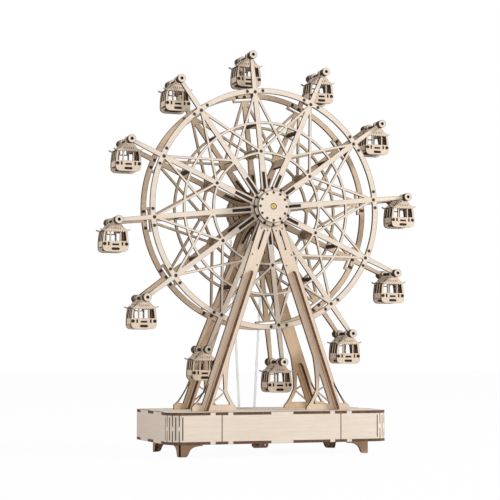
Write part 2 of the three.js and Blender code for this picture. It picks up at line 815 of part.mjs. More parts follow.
// A dowel with a cap outside each frame
function cabinAxle() {
  const front = frontFrameY - wheelMidY;
  const back = backFrameY + ply - wheelMidY;
  return turned([
    [0, front - capDepth], [capRadius, front - capDepth], [capRadius, front],
    [dowelRadius, front], [dowelRadius, back], [capRadius, back], [capRadius, back + capDepth],
    [0, back + capDepth],
  ], small);
}

// Music movement
function bedplate() {
  const plate = block([-bedLeft, -bedFront, floorTop], [bedRight, bedBack, bedTop]);
  const lugs = [cylinderFront - fit - lugThickness, cylinderBack + fit].map((y) => block(
    [-lugHalf, y, bedTop - overrun], [lugHalf, y + lugThickness, driveHeight + lugHalf]));
  const riser = block([-cylinderRadius - fit - combToothLength - combHeel, cylinderFront, bedTop - overrun],
    [-cylinderRadius - fit - combToothLength, cylinderBack, driveHeight - combThickness / 2]);
  const arborHole = disc(arborRadius + fit, 0, baseHalfDepth, small).translate([0, 0, driveHeight]);
  const keyHole = post(keyHoleRadius, floorHeight, bedTop + overrun, coarse);
  return cut(join([plate, ...lugs, riser]), [arborHole, keyHole]);
}

function toothedOutline(root, tip, count) {
  const points = [];
  const pitch = 2 * Math.PI / count;
  const stepShares = [[0, root], [0.3, root], [0.4, tip], [0.7, tip]]; // turn within a pitch, radius
  for (let tooth = 0; tooth < count; tooth += 1) {
    for (const [turnShare, radius] of stepShares) {
      const angle = (tooth + turnShare) * pitch;
      points.push([radius * Math.cos(angle), radius * Math.sin(angle)]);
    }
  }
  return outline(points);
}

function springBarrel() {
  const drum = post(barrelRadius, barrelBottom, barrelTop, medium);
  const crown = flatSheet(toothedOutline(barrelRadius - overrun, barrelTip, barrelTeeth),
    barrelTop - barrelToothHeight, barrelToothHeight);
  const socket = post(barrelSocketRadius, barrelBottom - overrun, barrelBottom + barrelSocketDepth, small);
  return drum.add(crown).subtract(socket);
}

function pinnedCylinder() {
  const pinionFront = barrelTip + fit;
  const pinionBack = cylinderFront - fit - lugThickness - fit;
  return join([
    disc(arborRadius, pinionFront, pulleyBack, small),
    disc(cylinderRadius, cylinderFront, cylinderBack, medium),
    disc(pinionRadius, pinionFront, pinionBack, coarse),
  ]).translate([0, 0, driveHeight]);
}

// The comb lies flat, its teeth reaching for the cylinder from the left
function comb() {
  const tip = -cylinderRadius - fit;
  const root = tip - combToothLength;
  const pitch = (cylinderBack - cylinderFront) / combTeeth;
  const points = [[root - combHeel, cylinderFront]];
  for (let tooth = 0; tooth < combTeeth; tooth += 1) {
    const start = cylinderFront + tooth * pitch;
    const end = start + pitch - (tooth < combTeeth - 1 ? combSlit : 0);
    points.push([tip, start], [tip, end]);
    if (tooth < combTeeth - 1) points.push([root, end], [root, end + combSlit]);
  }
  points.push([root - combHeel, cylinderBack]);
  return flatSheet(outline(points), driveHeight - combThickness / 2, combThickness);
}

function governorHousing() {
  const half = governorWidth / 2 - governorRounding;
  const shape = new THREE.Shape();
  const top = governorHeight - governorRounding;
  shape.moveTo(-half - governorRounding, 0);
  shape.lineTo(half + governorRounding, 0);
  shape.absarc(half, top, governorRounding, 0, Math.PI / 2, false);
  shape.absarc(-half, top, governorRounding, Math.PI / 2, Math.PI, false);
  return frontSheet(shape, governorY - governorDepth / 2, governorDepth)
    .translate([governorX, 0, bedTop]);
}

// A flat wing key: one end of the wing is folded into a round knob
function windingKey() {
  const wing = new THREE.Shape();
  const half = keyWingHeight / 2;
  wing.absarc(keySpanRight - half, keyBottom + half, half, -Math.PI / 2, Math.PI / 2, false);
  wing.absarc(-keySpanLeft + half, keyBottom + half, half, Math.PI / 2, 1.5 * Math.PI, false);
  const knob = disc(keyKnobRadius, -keyThickness, keyThickness, small)
    .translate([-keySpanLeft + keyKnobRadius, 0, keyBottom + half]);
  const stem = post(keyStemRadius, keyBottom + half, barrelBottom + barrelSocketDepth - fit, small);
  return join([frontSheet(wing, -keyThickness / 2, keyThickness), knob, stem]);
}

// Base
add('bottom_plate', bottomPlate(), birch);
add('deck_plate', deckPlate(), birch);
add('front_middle_panel', middlePanel(), birch);
add('back_middle_panel', middlePanel(), birch).rotation.z = Math.PI;
add('left_wrap_panel', wrapPanel(), birch);
add('right_wrap_panel', wrapPanel(), birch).rotation.z = Math.PI;
for (const [signX, signY, place] of corners) add(`foot_${place}`, foot(signX, signY), burnt);

// Movement
add('movement_bedplate', bedplate(), steel);
add('spring_barrel', springBarrel(), brass);
add('pinned_cylinder', pinnedCylinder(), brass);
add('comb', comb(), steel);
add('governor_housing', governorHousing(), brass);
add('winding_key', windingKey(), darkSteel);
add('drive_pulley', toGeometry(pulley(driveBeltRadius, arborRadius, coarse)), birch).position.z = driveHeight;
add('belt', belt(), silicone);

// Towers
for (const [signX, signY, place] of corners) {
  add(`${place}_leg`, legPlate(signX, signY), birch);
  add(`${place}_leg_rib`, legRib(signX, signY), birch);
}
const frontDiscY = towerFront(-1) - ply;
const backDiscY = towerFront(1) + ply;
add('front_bearing_plate', hubDisc(bearingRadius, frontDiscY), birch);
add('front_hub_cap', hubDisc(hubCapRadius, frontDiscY - ply), birch);
add('back_bearing_plate', hubDisc(bearingRadius, backDiscY), birch);

// Wheel
const wheel = new THREE.Group();
wheel.position.z = hubHeight;
part.add(wheel);
add('wheel_front_frame', wheelFrame(frontFrameY), birch, wheel);
add('wheel_back_frame', join([wheelFrame(backFrameY), ...crossPieces()]), birch, wheel);
add('hub_ribs', hubRibs(), birch, wheel);
add('wheel_shaft', wheelShaft(frontDiscY - ply - shaftProud, pulleyBack), brass, wheel);
add('front_spacer', spacer(towerFront(-1) + ply + fit, frontFrameY), birch, wheel);
add('back_spacer', spacer(backFrameY + ply, towerFront(1) - fit), birch, wheel);
add('hub_pulley', pulley(hubBeltRadius, shaftRadius, medium), birch, wheel);

// Cabins hang level from the ends of the arms
const cabinShape = toGeometry(cabin());
const axleShape = toGeometry(cabinAxle());
for (let arm = 0; arm < armCount; arm += 1) {
  const angle = THREE.MathUtils.degToRad(armAngle(arm));
  const number = String(arm + 1).padStart(2, '0');
  const place = new THREE.Vector3(armReach * Math.cos(angle), wheelMidY, armReach * Math.sin(angle));
  add(`cabin_${number}`, cabinShape.clone(), birch, wheel).position.copy(place);
  add(`cabin_axle_${number}`, axleShape.clone(), birch, wheel).position.copy(place);
}

export default part;
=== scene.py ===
"""Looks of the wooden ferris wheel with a music box in its base.

It is laser-cut birch plywood with burnt edges, dark pegs, brass and a silicone belt.
Lengths are millimetres in the part's frame, +X right, +Y back, +Z up, until MM turns them into
metres. An outline is a list of (u, v) points, and a section a list of (radius, along) points.
"""
import math

import bpy
import bmesh
from mathutils import Matrix, Vector
from mathutils.geometry import delaunay_2d_cdt


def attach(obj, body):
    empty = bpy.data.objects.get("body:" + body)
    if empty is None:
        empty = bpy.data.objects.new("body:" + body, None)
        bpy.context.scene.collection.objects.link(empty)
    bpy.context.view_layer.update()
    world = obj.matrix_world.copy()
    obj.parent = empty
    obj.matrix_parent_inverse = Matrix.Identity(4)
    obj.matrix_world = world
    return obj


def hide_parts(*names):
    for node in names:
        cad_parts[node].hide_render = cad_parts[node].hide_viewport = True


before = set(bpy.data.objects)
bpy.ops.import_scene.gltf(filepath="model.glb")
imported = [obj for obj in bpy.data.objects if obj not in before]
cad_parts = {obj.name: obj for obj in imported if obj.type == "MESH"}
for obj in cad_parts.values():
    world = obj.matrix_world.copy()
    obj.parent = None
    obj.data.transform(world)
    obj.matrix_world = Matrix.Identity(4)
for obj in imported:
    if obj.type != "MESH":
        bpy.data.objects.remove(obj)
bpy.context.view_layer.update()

MM = 0.001
PLY = 2.0
THIN, FLANK = 1.5, 1.6  # end plates and side walls of a cabin
SCORCH = 0.55  # width of the toasted line along a cut
PEG_SCORCH = 0.1  # the same on pegs and small tabs
TOUCH = 0.02  # air between pieces that lie face to face
TAB_AIR = 0.12  # air round a tab in its notch
SEAM_AIR = 0.3  # air between the front panel and a wrap panel
PAST = 1  # how far a cut or a joined outline runs past the edge it crosses
WELD = 0.002  # points of neighbouring copies this close are one point
ROUNDING = 1e-6
SAME_POINT, ON_LINE, CLOSED = 1e-5, 1e-3, 1e-7
CREASE = math.radians(32)  # edges that turn more than this stay sharp

# Base box
BASE_HALF_X, BASE_HALF_Y, BASE_ROUND = 88.2, 49.3, 11.6
FLOOR_LOW, FLOOR_TOP, DECK_LOW, DECK_TOP = 9.7, 11.7, 31.3, 33.3
SEAM = 47.7
WIDE_TAB, SMALL_TAB, TAB_INSET = 18.0, 4.2, 6.9
SIDE_TAB, SIDE_TAB_Y = 21.0, 18.0
SLIT = 0.5  # width of a kerf

# Towers
HUB_Z, MID_Y = 189.4, -3.0
FRONT_LEG_Y, BACK_LEG_Y = -27.5, 19.5
LEG_FOOT_X, LEG_WIDTH, LEG_HEAD = 53.5, 10.5, 10.0
LEAN = math.atan2(LEG_FOOT_X, HUB_Z - DECK_TOP)
RIB_PROUD = 4.0

# Wheel
ARMS, FIRST_ARM, REACH = 12, 6.11, 120.0
FRONT_FRAME_Y, BACK_FRAME_Y = -16.7, 8.7
RIM_IN, RIM_OUT = 90.1, 94.2
HOOP, INNER_HOOP, HOOP_WIDTH = 67.0, 43.4, 1.9
RIM_NODE, MID_NODE, STRUT = 91.2, 44.6, 1.8
HALF_SECTOR = 180 / ARMS
SHAFT = 2.0

# Belt
BELT_Y, BELT_SIZE, HUB_BELT, DRIVE_BELT, DRIVE_Z = 30.0, 1.6, 15.0, 5.8, 22.0


# Outlines
def arc(x, z, radius, start, end, steps):
    """Points on an arc, in degrees, both ends included."""
    turns = [math.radians(start + (end - start) * i / steps) for i in range(steps + 1)]
    return [(x + radius * math.cos(t), z + radius * math.sin(t)) for t in turns]


def disc(x, z, radius, steps=28):
    return arc(x, z, radius, 0, 360, steps)[:-1]


def box(x0, z0, x1, z1):
    return [(x0, z0), (x1, z0), (x1, z1), (x0, z1)]


def bar(start, end, width):
    """A straight strip between two points."""
    a, b = Vector(start), Vector(end)
    side = (b - a).normalized() * width / 2
    n = Vector((-side.y, side.x))
    return [tuple(a - n), tuple(b - n), tuple(b + n), tuple(a + n)]


def slot_hole(x, z, length, width, angle=0.0):
    """A rounded slot."""
    t = math.radians(angle)
    half = length / 2 - width / 2
    points = arc(half, 0, width / 2, -90, 90, 6) + arc(-half, 0, width / 2, 90, 270, 6)
    return [(x + u * math.cos(t) - v * math.sin(t), z + u * math.sin(t) + v * math.cos(t))
            for u, v in points]


def curve(a, control, b, steps=8):
    """A quadratic curve without its first point."""
    out = []
    for i in range(1, steps + 1):
        t = i / steps
        out.append(tuple((1 - t) ** 2 * p + 2 * t * (1 - t) * q + t * t * r
                         for p, q, r in zip(a, control, b)))
    return out


def mirrored(points):
    return [(-u, v) for u, v in reversed(points)]


def polar(radius, angle):
    t = math.radians(angle)
    return radius * math.cos(t), radius * math.sin(t)


# Sheets
def counterclockwise(outline):
    turned = outline[1:] + outline[:1]
    area = sum(a[0] * b[1] - b[0] * a[1] for a, b in zip(outline, turned))
    return outline if area > 0 else outline[::-1]


def cut_out(solids, holes, keep_inside=None, folds=()):
    """The joined solids less the holes, as points and triangles in the plane."""
    faces, points = [], []
    groups = [solids, holes, [keep_inside] if keep_inside else []]
    for outline in [counterclockwise(o) for group in groups for o in group]:
        faces.append(list(range(len(points), len(points) + len(outline))))
        points += [Vector(p) for p in outline]
    edges = []
    for a, b in folds:
        edges.append((len(points), len(points) + 1))
        points += [Vector(a), Vector(b)]
    verts, _, tris, _, _, origin = delaunay_2d_cdt(points, edges, faces, 0, SAME_POINT, True)
    n_solid, n_hole = len(solids), len(solids) + len(holes)
    kept = []
    for tri, source in zip(tris, origin):
        inside = any(s < n_solid for s in source)
        removed = any(n_solid <= s < n_hole for s in source)
        clipped = keep_inside and not any(s >= n_hole for s in source)
        if inside and not removed and not clipped:
            kept.append(tri)
    return verts, kept


def on_a_fold(point, folds):
    for a, b in folds:
        run, across = Vector(b) - Vector(a), point.xy - Vector(a)
        if abs(run.x * across.y - run.y * across.x) < ON_LINE * run.length:
            return True
    return False


def scorched_faces(verts, tris, scorch, folds=()):
    """The flat faces with a narrow band along each cut, where the burn fades from 1 to 0."""
    flat = bmesh.new()
    burnt = flat.verts.layers.float.new("burn")
    made = [flat.verts.new((v.x, v.y, 0)) for v in verts]
    for tri in tris:
        flat.faces.new([made[i] for i in tri])
    bmesh.ops.delete(flat, geom=[v for v in flat.verts if not v.link_faces], context="VERTS")
    folded = {v for v in flat.verts if on_a_fold(v.co, folds)}
    bmesh.ops.dissolve_limit(flat, angle_limit=0.01, use_dissolve_boundaries=False, delimit=set(),
                             verts=[v for v in flat.verts if v not in folded],
                             edges=[e for e in flat.edges if not folded.issuperset(e.verts)])
    bmesh.ops.triangulate(flat, faces=flat.faces[:], quad_method="BEAUTY", ngon_method="BEAUTY")
    bmesh.ops.inset_region(flat, faces=flat.faces[:], thickness=scorch, use_boundary=True,
                           use_even_offset=False, use_interpolate=False)
    for edge in flat.edges:
        if len(edge.link_faces) == 1:
            for vert in edge.verts:
                vert[burnt] = 1.0
    return flat, burnt


def flat_data(flat, burnt, is_open=None):
    """Points, burn values, faces and cut edges. Edges that is_open names get no wall."""
    flat.verts.index_update()
    edges = [e for e in flat.edges if len(e.link_faces) == 1]
    if is_open:
        edges = [e for e in edges if not is_open(e.verts[0].co, e.verts[1].co)]
    points = [(v.co.x, v.co.y) for v in flat.verts]
    burn = [v[burnt] for v in flat.verts]
    faces = [[v.index for v in f.verts] for f in flat.faces]
    cuts = [(e.verts[0].index, e.verts[1].index) for e in edges]
    flat.free()
    return points, burn, faces, cuts


def thickened(name, points, burn, faces, cuts, place, low, high):
    """A closed body between two caps; place(u, v, w) gives the point in the frame, in mm."""
    body = bmesh.new()
    burnt = body.verts.layers.float.new("burn")
    layer = body.verts.layers.float.new("layer")
    drawn = body.verts.layers.float_vector.new("drawn")
    cut = body.faces.layers.float.new("cut")
    sides = []
    for depth, share in ((low, 0.0), (high, 1.0)):
        ring = []
        for (u, v), value in zip(points, burn):
            vert = body.verts.new(Vector(place(u, v, depth)) * MM)
            vert[burnt], vert[layer], vert[drawn] = value, share, Vector((u, depth, v)) * MM
            ring.append(vert)
        sides.append(ring)
    for f in faces:
        body.faces.new([sides[0][i] for i in reversed(f)])
        body.faces.new([sides[1][i] for i in f])
    for a, b in cuts:
        wall = body.faces.new([sides[0][a], sides[0][b], sides[1][b], sides[1][a]])
        wall[cut] = 1.0
    bmesh.ops.recalc_face_normals(body, faces=body.faces[:])
    return to_object(name, body)


def to_object(name, body):
    mesh = bpy.data.meshes.new(name)
    body.to_mesh(mesh)
    body.free()
    mesh.shade_smooth()
    mesh.set_sharp_from_angle(angle=CREASE)
    obj = bpy.data.objects.new(name, mesh)
    bpy.context.scene.collection.objects.link(obj)
    return obj


def facing_front(u, v, w):
    return u, w, v


def lying(u, v, w):
    return u, v, w


def sheet(name, solids, holes, low, high, place=facing_front, scorch=SCORCH, folds=()):
    verts, tris = cut_out(solids, holes, None, folds)
    points, burn, faces, cuts = flat_data(*scorched_faces(verts, tris, scorch, folds))
    return thickened(name, points, burn, faces, cuts, place, low, high)


def lathe(name, section, centre, steps=48, axis="Y", burn=0.0):
    """A turned piece from (radius, along) pairs, front to back or bottom to top."""
    body = bmesh.new()
    burnt = body.verts.layers.float.new("burn")
    body.verts.layers.float.new("layer")
    cut = body.faces.layers.float.new("cut")
    rings = []
    for radius, along in section:
        ring = []
        for i in range(steps if radius > 0 else 1):
            a, b = polar(radius, 360 * i / steps)
            p = (a, along, b) if axis == "Y" else (a, b, along)
            vert = body.verts.new((Vector(centre) + Vector(p)) * MM)
            vert[burnt] = burn
            ring.append(vert)
        rings.append(ring)
    closed = section[0] == section[-1]
    for r0, r1 in zip(rings, rings[1:]):
        for i in range(steps):
            j = (i + 1) % steps
            corners = [r0[i % len(r0)], r0[j % len(r0)], r1[j % len(r1)], r1[i % len(r1)]]
            corners = list(dict.fromkeys(corners))
            if len(corners) > 2:
                body.faces.new(corners)[cut] = burn
    if closed:
        bmesh.ops.remove_doubles(body, verts=body.verts[:], dist=CLOSED)
    bmesh.ops.recalc_face_normals(body, faces=body.faces[:])
    return to_object(name, body)


def joined(name, objects):
    """Several bodies as one piece."""
    body = bmesh.new()
    for obj in objects:
        body.from_mesh(obj.data)
        mesh = obj.data
        bpy.data.objects.remove(obj)
        bpy.data.meshes.remove(mesh)
    return to_object(name, body)


def moved(obj, x=0.0, y=0.0, z=0.0):
    obj.data.transform(Matrix.Translation(Vector((x, y, z)) * MM))
    return obj


def copy_of(obj, name):
    twin = bpy.data.objects.new(name, obj.data.copy())
    bpy.context.scene.collection.objects.link(twin)
    return twin


def mirror(obj, axis, about=0.0):
    """Mirrors the mesh in the plane axis = about, and turns its faces outwards again."""
    scale = Vector((1, 1, 1))
    scale[axis] = -1
    shift = Vector((0, 0, 0))
    shift[axis] = 2 * about * MM
    obj.data.transform(Matrix.Translation(shift) @ Matrix.Diagonal(scale).to_4x4())
    obj.data.flip_normals()
    return obj


# Repeats
def build_repeat_tree():
    """Copies of the object's own mesh, each turned and shifted one step further, then welded."""
    tree = bpy.data.node_groups.new("Repeat in steps", "GeometryNodeTree")
    socket = {}
    for label, kind in (("Geometry", "Geometry"), ("Copies", "Int"), ("Turn", "Vector"),
                        ("Shift", "Vector"), ("Centre", "Vector"), ("Weld", "Float"),
                        ("Material", "Material")):
        made = tree.interface.new_socket(label, in_out="INPUT", socket_type="NodeSocket" + kind)
        socket[label] = made.identifier
    tree.interface.new_socket("Geometry", in_out="OUTPUT", socket_type="NodeSocketGeometry")
    new, link = tree.nodes.new, tree.links.new
    given, result = new("NodeGroupInput"), new("NodeGroupOutput")
    index = new("GeometryNodeInputIndex")
    shift, turn, back, place = (new("ShaderNodeVectorMath") for _ in range(4))
    shift.operation = turn.operation = back.operation = "SCALE"
    place.operation = "ADD"
    link(given.outputs["Shift"], shift.inputs[0])
    link(index.outputs[0], shift.inputs["Scale"])
    link(given.outputs["Turn"], turn.inputs[0])
    link(index.outputs[0], turn.inputs["Scale"])
    link(given.outputs["Centre"], back.inputs[0])
    back.inputs["Scale"].default_value = -1
    link(given.outputs["Centre"], place.inputs[0])
    link(shift.outputs[0], place.inputs[1])
    points = new("GeometryNodePoints")
    link(given.outputs["Copies"], points.inputs["Count"])
    link(place.outputs[0], points.inputs["Position"])
    centred = new("GeometryNodeTransform")
    link(given.outputs["Geometry"], centred.inputs["Geometry"])
    link(back.outputs[0], centred.inputs["Translation"])
    euler = new("FunctionNodeEulerToRotation")
    link(turn.outputs[0], euler.inputs[0])
    copies = new("GeometryNodeInstanceOnPoints")
    link(points.outputs[0], copies.inputs["Points"])
    link(centred.outputs[0], copies.inputs["Instance"])
    link(euler.outputs[0], copies.inputs["Rotation"])
    real = new("GeometryNodeRealizeInstances")
    link(copies.outputs[0], real.inputs[0])
    weld = new("GeometryNodeMergeByDistance")
    link(real.outputs[0], weld.inputs["Geometry"])
    link(given.outputs["Weld"], weld.inputs["Distance"])
    dress = new("GeometryNodeSetMaterial")
    link(weld.outputs[0], dress.inputs["Geometry"])
    link(given.outputs["Material"], dress.inputs["Material"])
    link(dress.outputs[0], result.inputs[0])
    return tree, socket


REPEAT, REPEAT_INPUT = build_repeat_tree()


def repeat(obj, copies, material, turn=(0, 0, 0), shift=(0, 0, 0), centre=(0, 0, 0), weld=WELD):
    """Runs the tree on the object and keeps the plain mesh. Turn in degrees, lengths in mm."""
    modifier = obj.modifiers.new("Repeat", "NODES")
    modifier.node_group = REPEAT
    values = {"Copies": copies, "Turn": [math.radians(t) for t in turn],
              "Shift": [s * MM for s in shift], "Centre": [c * MM for c in centre],
              "Weld": weld * MM, "Material": material}
    for label, value in values.items():
        modifier[REPEAT_INPUT[label]] = value
    graph = bpy.context.evaluated_depsgraph_get()
    mesh = bpy.data.meshes.new_from_object(obj.evaluated_get(graph))
    obj.modifiers.remove(modifier)
    obj.data = mesh
    mesh.set_sharp_from_angle(angle=CREASE)
    return obj


def around_hub(obj, material, copies=ARMS, weld=WELD):
    return repeat(obj, copies, material, (0, -360 / copies, 0), centre=(0, 0, HUB_Z), weld=weld)


# Materials
BIRCH_PALE = (0.860, 0.745, 0.630, 1)
BIRCH_WARM = (0.760, 0.625, 0.500, 1)
BURNT_TAN = (0.145, 0.082, 0.048, 1)
BURNT_BROWN = (0.050, 0.027, 0.016, 1)
BURNT_BLACK = (0.014, 0.009, 0.007, 1)
CHAR_BROWN = (0.085, 0.05, 0.032, 1)

# Figure of the veneer: the length of a feature along the grain and across it
BANDS, FIBRES, FLECKS, CLOUDS = (70, 4, 4), (9, 0.28, 0.28), (3.2, 0.22, 0.22), (45, 30, 30)
SOOT, GRIT, STAIN, DUST = (2.6, 2.6, 2.6), (0.35, 0.35, 0.35), (5, 5, 5), (2, 2, 14)
TOOL_MARKS = (6, 0.12, 6)
LEVEL = (0, 0, 0)


class Shader:
    """A small hand for wiring one material's nodes."""

    def __init__(self, name, drawn=False):
        self.drawn = drawn
        self.material = bpy.data.materials.new(name)
        self.material.use_nodes = True
        self.nodes = self.material.node_tree.nodes
        self.link = self.material.node_tree.links.new
        self.surface = self.nodes["Principled BSDF"]

    def node(self, kind, **settings):
        made = self.nodes.new(kind)
        for key, value in settings.items():
            setattr(made, key, value)
        return made

    def feed(self, socket, value):
        if hasattr(value, "is_output"):
            self.link(value, socket)
        else:
            socket.default_value = value

    def give(self, label, value):
        self.feed(self.surface.inputs[label], value)

    def attribute(self, name, output="Fac"):
        return self.node("ShaderNodeAttribute", attribute_name=name).outputs[output]

    def grained(self, angles, size):
        """Coordinates along the grain; size is the length of a feature each way, in mm."""
        if self.drawn:
            place = self.attribute("drawn", "Vector")
        else:
            place = self.node("ShaderNodeTexCoord").outputs["Object"]
        lay = self.node("ShaderNodeMapping", vector_type="TEXTURE")
        self.link(place, lay.inputs["Vector"])
        lay.inputs["Rotation"].default_value = [math.radians(a) for a in angles]
        lay.inputs["Scale"].default_value = [s * MM for s in size]
        return lay.outputs[0]

    def noise(self, vector, detail, rough, distortion=0.0):
        made = self.node("ShaderNodeTexNoise")
        self.link(vector, made.inputs["Vector"])
        for label, value in (("Scale", 1.0), ("Detail", detail), ("Roughness", rough),
                             ("Distortion", distortion)):
            made.inputs[label].default_value = value
        return made.outputs["Fac"]

    def ramp(self, value, *stops):
        made = self.node("ShaderNodeValToRGB")
        self.link(value, made.inputs[0])
        band = made.color_ramp
        while len(band.elements) < len(stops):
            band.elements.new(0.5)
        for element, (position, colour) in zip(band.elements, stops):
            element.position = position
            element.color = colour if isinstance(colour, tuple) else (colour, colour, colour, 1)
        return made.outputs[0]

    def mix(self, share, a, b, blend="MIX"):
        made = self.node("ShaderNodeMix", data_type="RGBA", blend_type=blend)
        self.feed(made.inputs[0], share)
        self.feed(made.inputs[6], a)
        self.feed(made.inputs[7], b)
        return made.outputs[2]

    def math(self, operation, a, b):
        made = self.node("ShaderNodeMath", operation=operation)
        self.feed(made.inputs[0], a)
        self.feed(made.inputs[1], b)
        return made.outputs[0]

    def sum(self, a, a_share, b, b_share):
        parts = self.math("MULTIPLY", a, a_share), self.math("MULTIPLY", b, b_share)
        return self.math("ADD", *parts)

    def bump(self, height, strength, distance):
        made = self.node("ShaderNodeBump")
        self.link(height, made.inputs["Height"])
        made.inputs["Strength"].default_value = strength
        made.inputs["Distance"].default_value = distance * MM
        self.give("Normal", made.outputs[0])


def toned(colour, tint):
    return tuple(c * t for c, t in zip(colour, tint)) + (1,)


def plywood(name, grain=LEVEL, tint=(1, 1, 1), edge_light=1.0, drawn=False):
    """Birch plywood: pale faces, or faces darkened by a tint, which on several materials paints
    shade; a toasted line along each cut, dark layered edges.
    """
    s = Shader(name, drawn)
    pale, warm = toned(BIRCH_PALE, tint), toned(BIRCH_WARM, tint)
    between = tuple(0.5 * (a + b) for a, b in zip(pale, warm))
    black, brown, tan = (toned(burnt, (edge_light,) * 3)
                         for burnt in (BURNT_BLACK, BURNT_BROWN, BURNT_TAN))
    bands = s.noise(s.grained(grain, BANDS), 4, 0.55, 0.6)
    fibres = s.noise(s.grained(grain, FIBRES), 3, 0.6)
    flecks = s.noise(s.grained(grain, FLECKS), 1, 0.5)
    clouds = s.noise(s.grained(grain, CLOUDS), 2, 0.5)
    soot = s.noise(s.grained(LEVEL, SOOT), 3, 0.6)
    burn, cut, layer = s.attribute("burn"), s.attribute("cut"), s.attribute("layer")

    face = s.ramp(bands, (0.30, pale), (0.52, between), (0.66, pale), (0.78, warm))
    for share, shade in ((0.22, s.ramp(fibres, (0.25, 0.55), (0.6, 1.0))),
                         (0.30, s.ramp(flecks, (0.24, 0.55), (0.34, 1.0))),
                         (0.25, s.ramp(clouds, (0.3, 0.82), (0.7, 1.0)))):
        face = s.mix(share, face, shade, "MULTIPLY")
    veneer = s.math("PINGPONG", s.math("MULTIPLY", layer, 2.5), 0.5)
    edge = s.ramp(s.sum(veneer, 0.5, soot, 0.75), (0.25, black), (0.60, brown), (0.95, tan))
    toast = s.math("MULTIPLY", s.math("POWER", burn, 1.2), s.ramp(soot, (0.3, 0.70), (0.7, 1.0)))
    s.give("Base Color", s.mix(cut, s.mix(toast, face, BURNT_BROWN), edge))
    s.give("Roughness", s.ramp(s.sum(fibres, 1.0, cut, 0.3), (0.3, 0.62), (0.8, 0.86)))
    s.give("Specular IOR Level", 0.32)
    s.bump(s.sum(fibres, 0.7, flecks, 0.5), 0.35, 0.05)
    return s.material


def charred(name):
    """Peg ends: end grain burnt almost black."""
    s = Shader(name)
    grit = s.noise(s.grained(LEVEL, GRIT), 4, 0.7)
    s.give("Base Color", s.ramp(grit, (0.35, BURNT_BLACK), (0.75, CHAR_BROWN)))
    s.give("Roughness", s.ramp(grit, (0.3, 0.7), (0.8, 0.95)))
    s.bump(grit, 0.5, 0.08)
    return s.material


def metal(name, colour, dark, roughness):
    """Metal with fine tool marks and a slight tarnish."""
    s = Shader(name)
    marks = s.noise(s.grained(LEVEL, TOOL_MARKS), 4, 0.65)
    stain = s.noise(s.grained(LEVEL, STAIN), 3, 0.6)
    shade = s.mix(s.ramp(stain, (0.40, 0.0), (0.75, 0.55)), colour, dark)
    s.give("Base Color", s.mix(0.25, shade, s.ramp(marks, (0.3, 0.75), (0.7, 1.0)), "MULTIPLY"))
    s.give("Metallic", 1.0)
    s.give("Roughness", s.ramp(s.sum(marks, 0.6, stain, 0.4),
                               (0.3, roughness - 0.07), (0.7, roughness + 0.12)))
    s.bump(marks, 0.25, 0.02)
    return s.material


def milky_belt():
    """A half-clear silicone belt, dusty where fingers stretched it over the pulleys."""
    s = Shader("milky_silicone_belt")
    dust = s.noise(s.grained(LEVEL, DUST), 4, 0.6)
    clear, dusty = (0.90, 0.92, 0.92, 1), (0.96, 0.965, 0.96, 1)
    s.give("Base Color", s.ramp(dust, (0.3, clear), (0.75, dusty)))
    s.give("Roughness", s.ramp(dust, (0.3, 0.22), (0.7, 0.42)))
    s.give("Transmission Weight", 0.8)
    s.give("IOR", 1.41)
    s.bump(dust, 0.15, 0.03)
    return s.material


LEAN_DEG = math.degrees(LEAN)
LEFT_LEAN, RIGHT_LEAN, UPRIGHT = (0, LEAN_DEG - 90, 0), (0, 90 - LEAN_DEG, 0), (0, 90, 0)
PAINTED_RIB_SHADE = (0.82, 0.68, 0.55)  # painted shade: the front ribs are tinted darker and warmer because they stand in the plates' shade
level_ply = plywood("birch_ply_grain_level")
left_leg_ply = plywood("birch_ply_left_leg", LEFT_LEAN, (0.99, 0.96, 0.93))
right_leg_ply = plywood("birch_ply_right_leg", RIGHT_LEAN, (0.96, 0.91, 0.86))
# painted shade: these two tints darken and warm the back legs and their ribs, which stand in the
# wheel's shade
left_rib_ply = plywood("birch_ply_left_rib", LEFT_LEAN, (0.92, 0.80, 0.68), 1.6)
right_rib_ply = plywood("birch_ply_right_rib", RIGHT_LEAN, (0.96, 0.83, 0.67), 1.6)
wrap_ply = plywood("birch_ply_wrap_panels", drawn=True)
front_rib_left_ply = plywood("birch_ply_front_rib_left", LEFT_LEAN, PAINTED_RIB_SHADE, 2.6)
front_rib_right_ply = plywood("birch_ply_front_rib_right", RIGHT_LEAN, PAINTED_RIB_SHADE, 2.6)
# painted shade: the cabins' tint darkens and warms them to stand in for their warm shade
cabin_ply = plywood("birch_ply_cabins", UPRIGHT, (0.97, 0.92, 0.86))
# painted shade: this tint darkens and warms the back frame, hub ribs, spools and tie plates for
# the shade behind and between the frames
painted_shade_ply = plywood("birch_ply_painted_shade", LEVEL, (0.92, 0.82, 0.70))
plate_ply = plywood("birch_ply_base_plates", edge_light=3.0)
foot_ply = plywood("birch_ply_feet", tint=(0.60, 0.45, 0.34), edge_light=1.3)
dark_peg = charred("charred_peg_ends")
polished_brass = metal("polished_brass", (0.83, 0.62, 0.24, 1), (0.50, 0.34, 0.13, 1), 0.22)
comb_steel = metal("brushed_comb_steel", (0.56, 0.56, 0.55, 1), (0.36, 0.35, 0.34, 1), 0.34)
key_steel = metal("bronzed_key_steel", (0.21, 0.135, 0.09, 1), (0.09, 0.058, 0.04, 1), 0.42)
belt_silicone = milky_belt()


def finish_piece(obj, material, body, slot, *nodes):
    if not obj.data.materials:
        obj.data.materials.append(material)
    obj.data.materials[0] = material
    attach(obj, body)
    if nodes:
        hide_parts(*nodes)


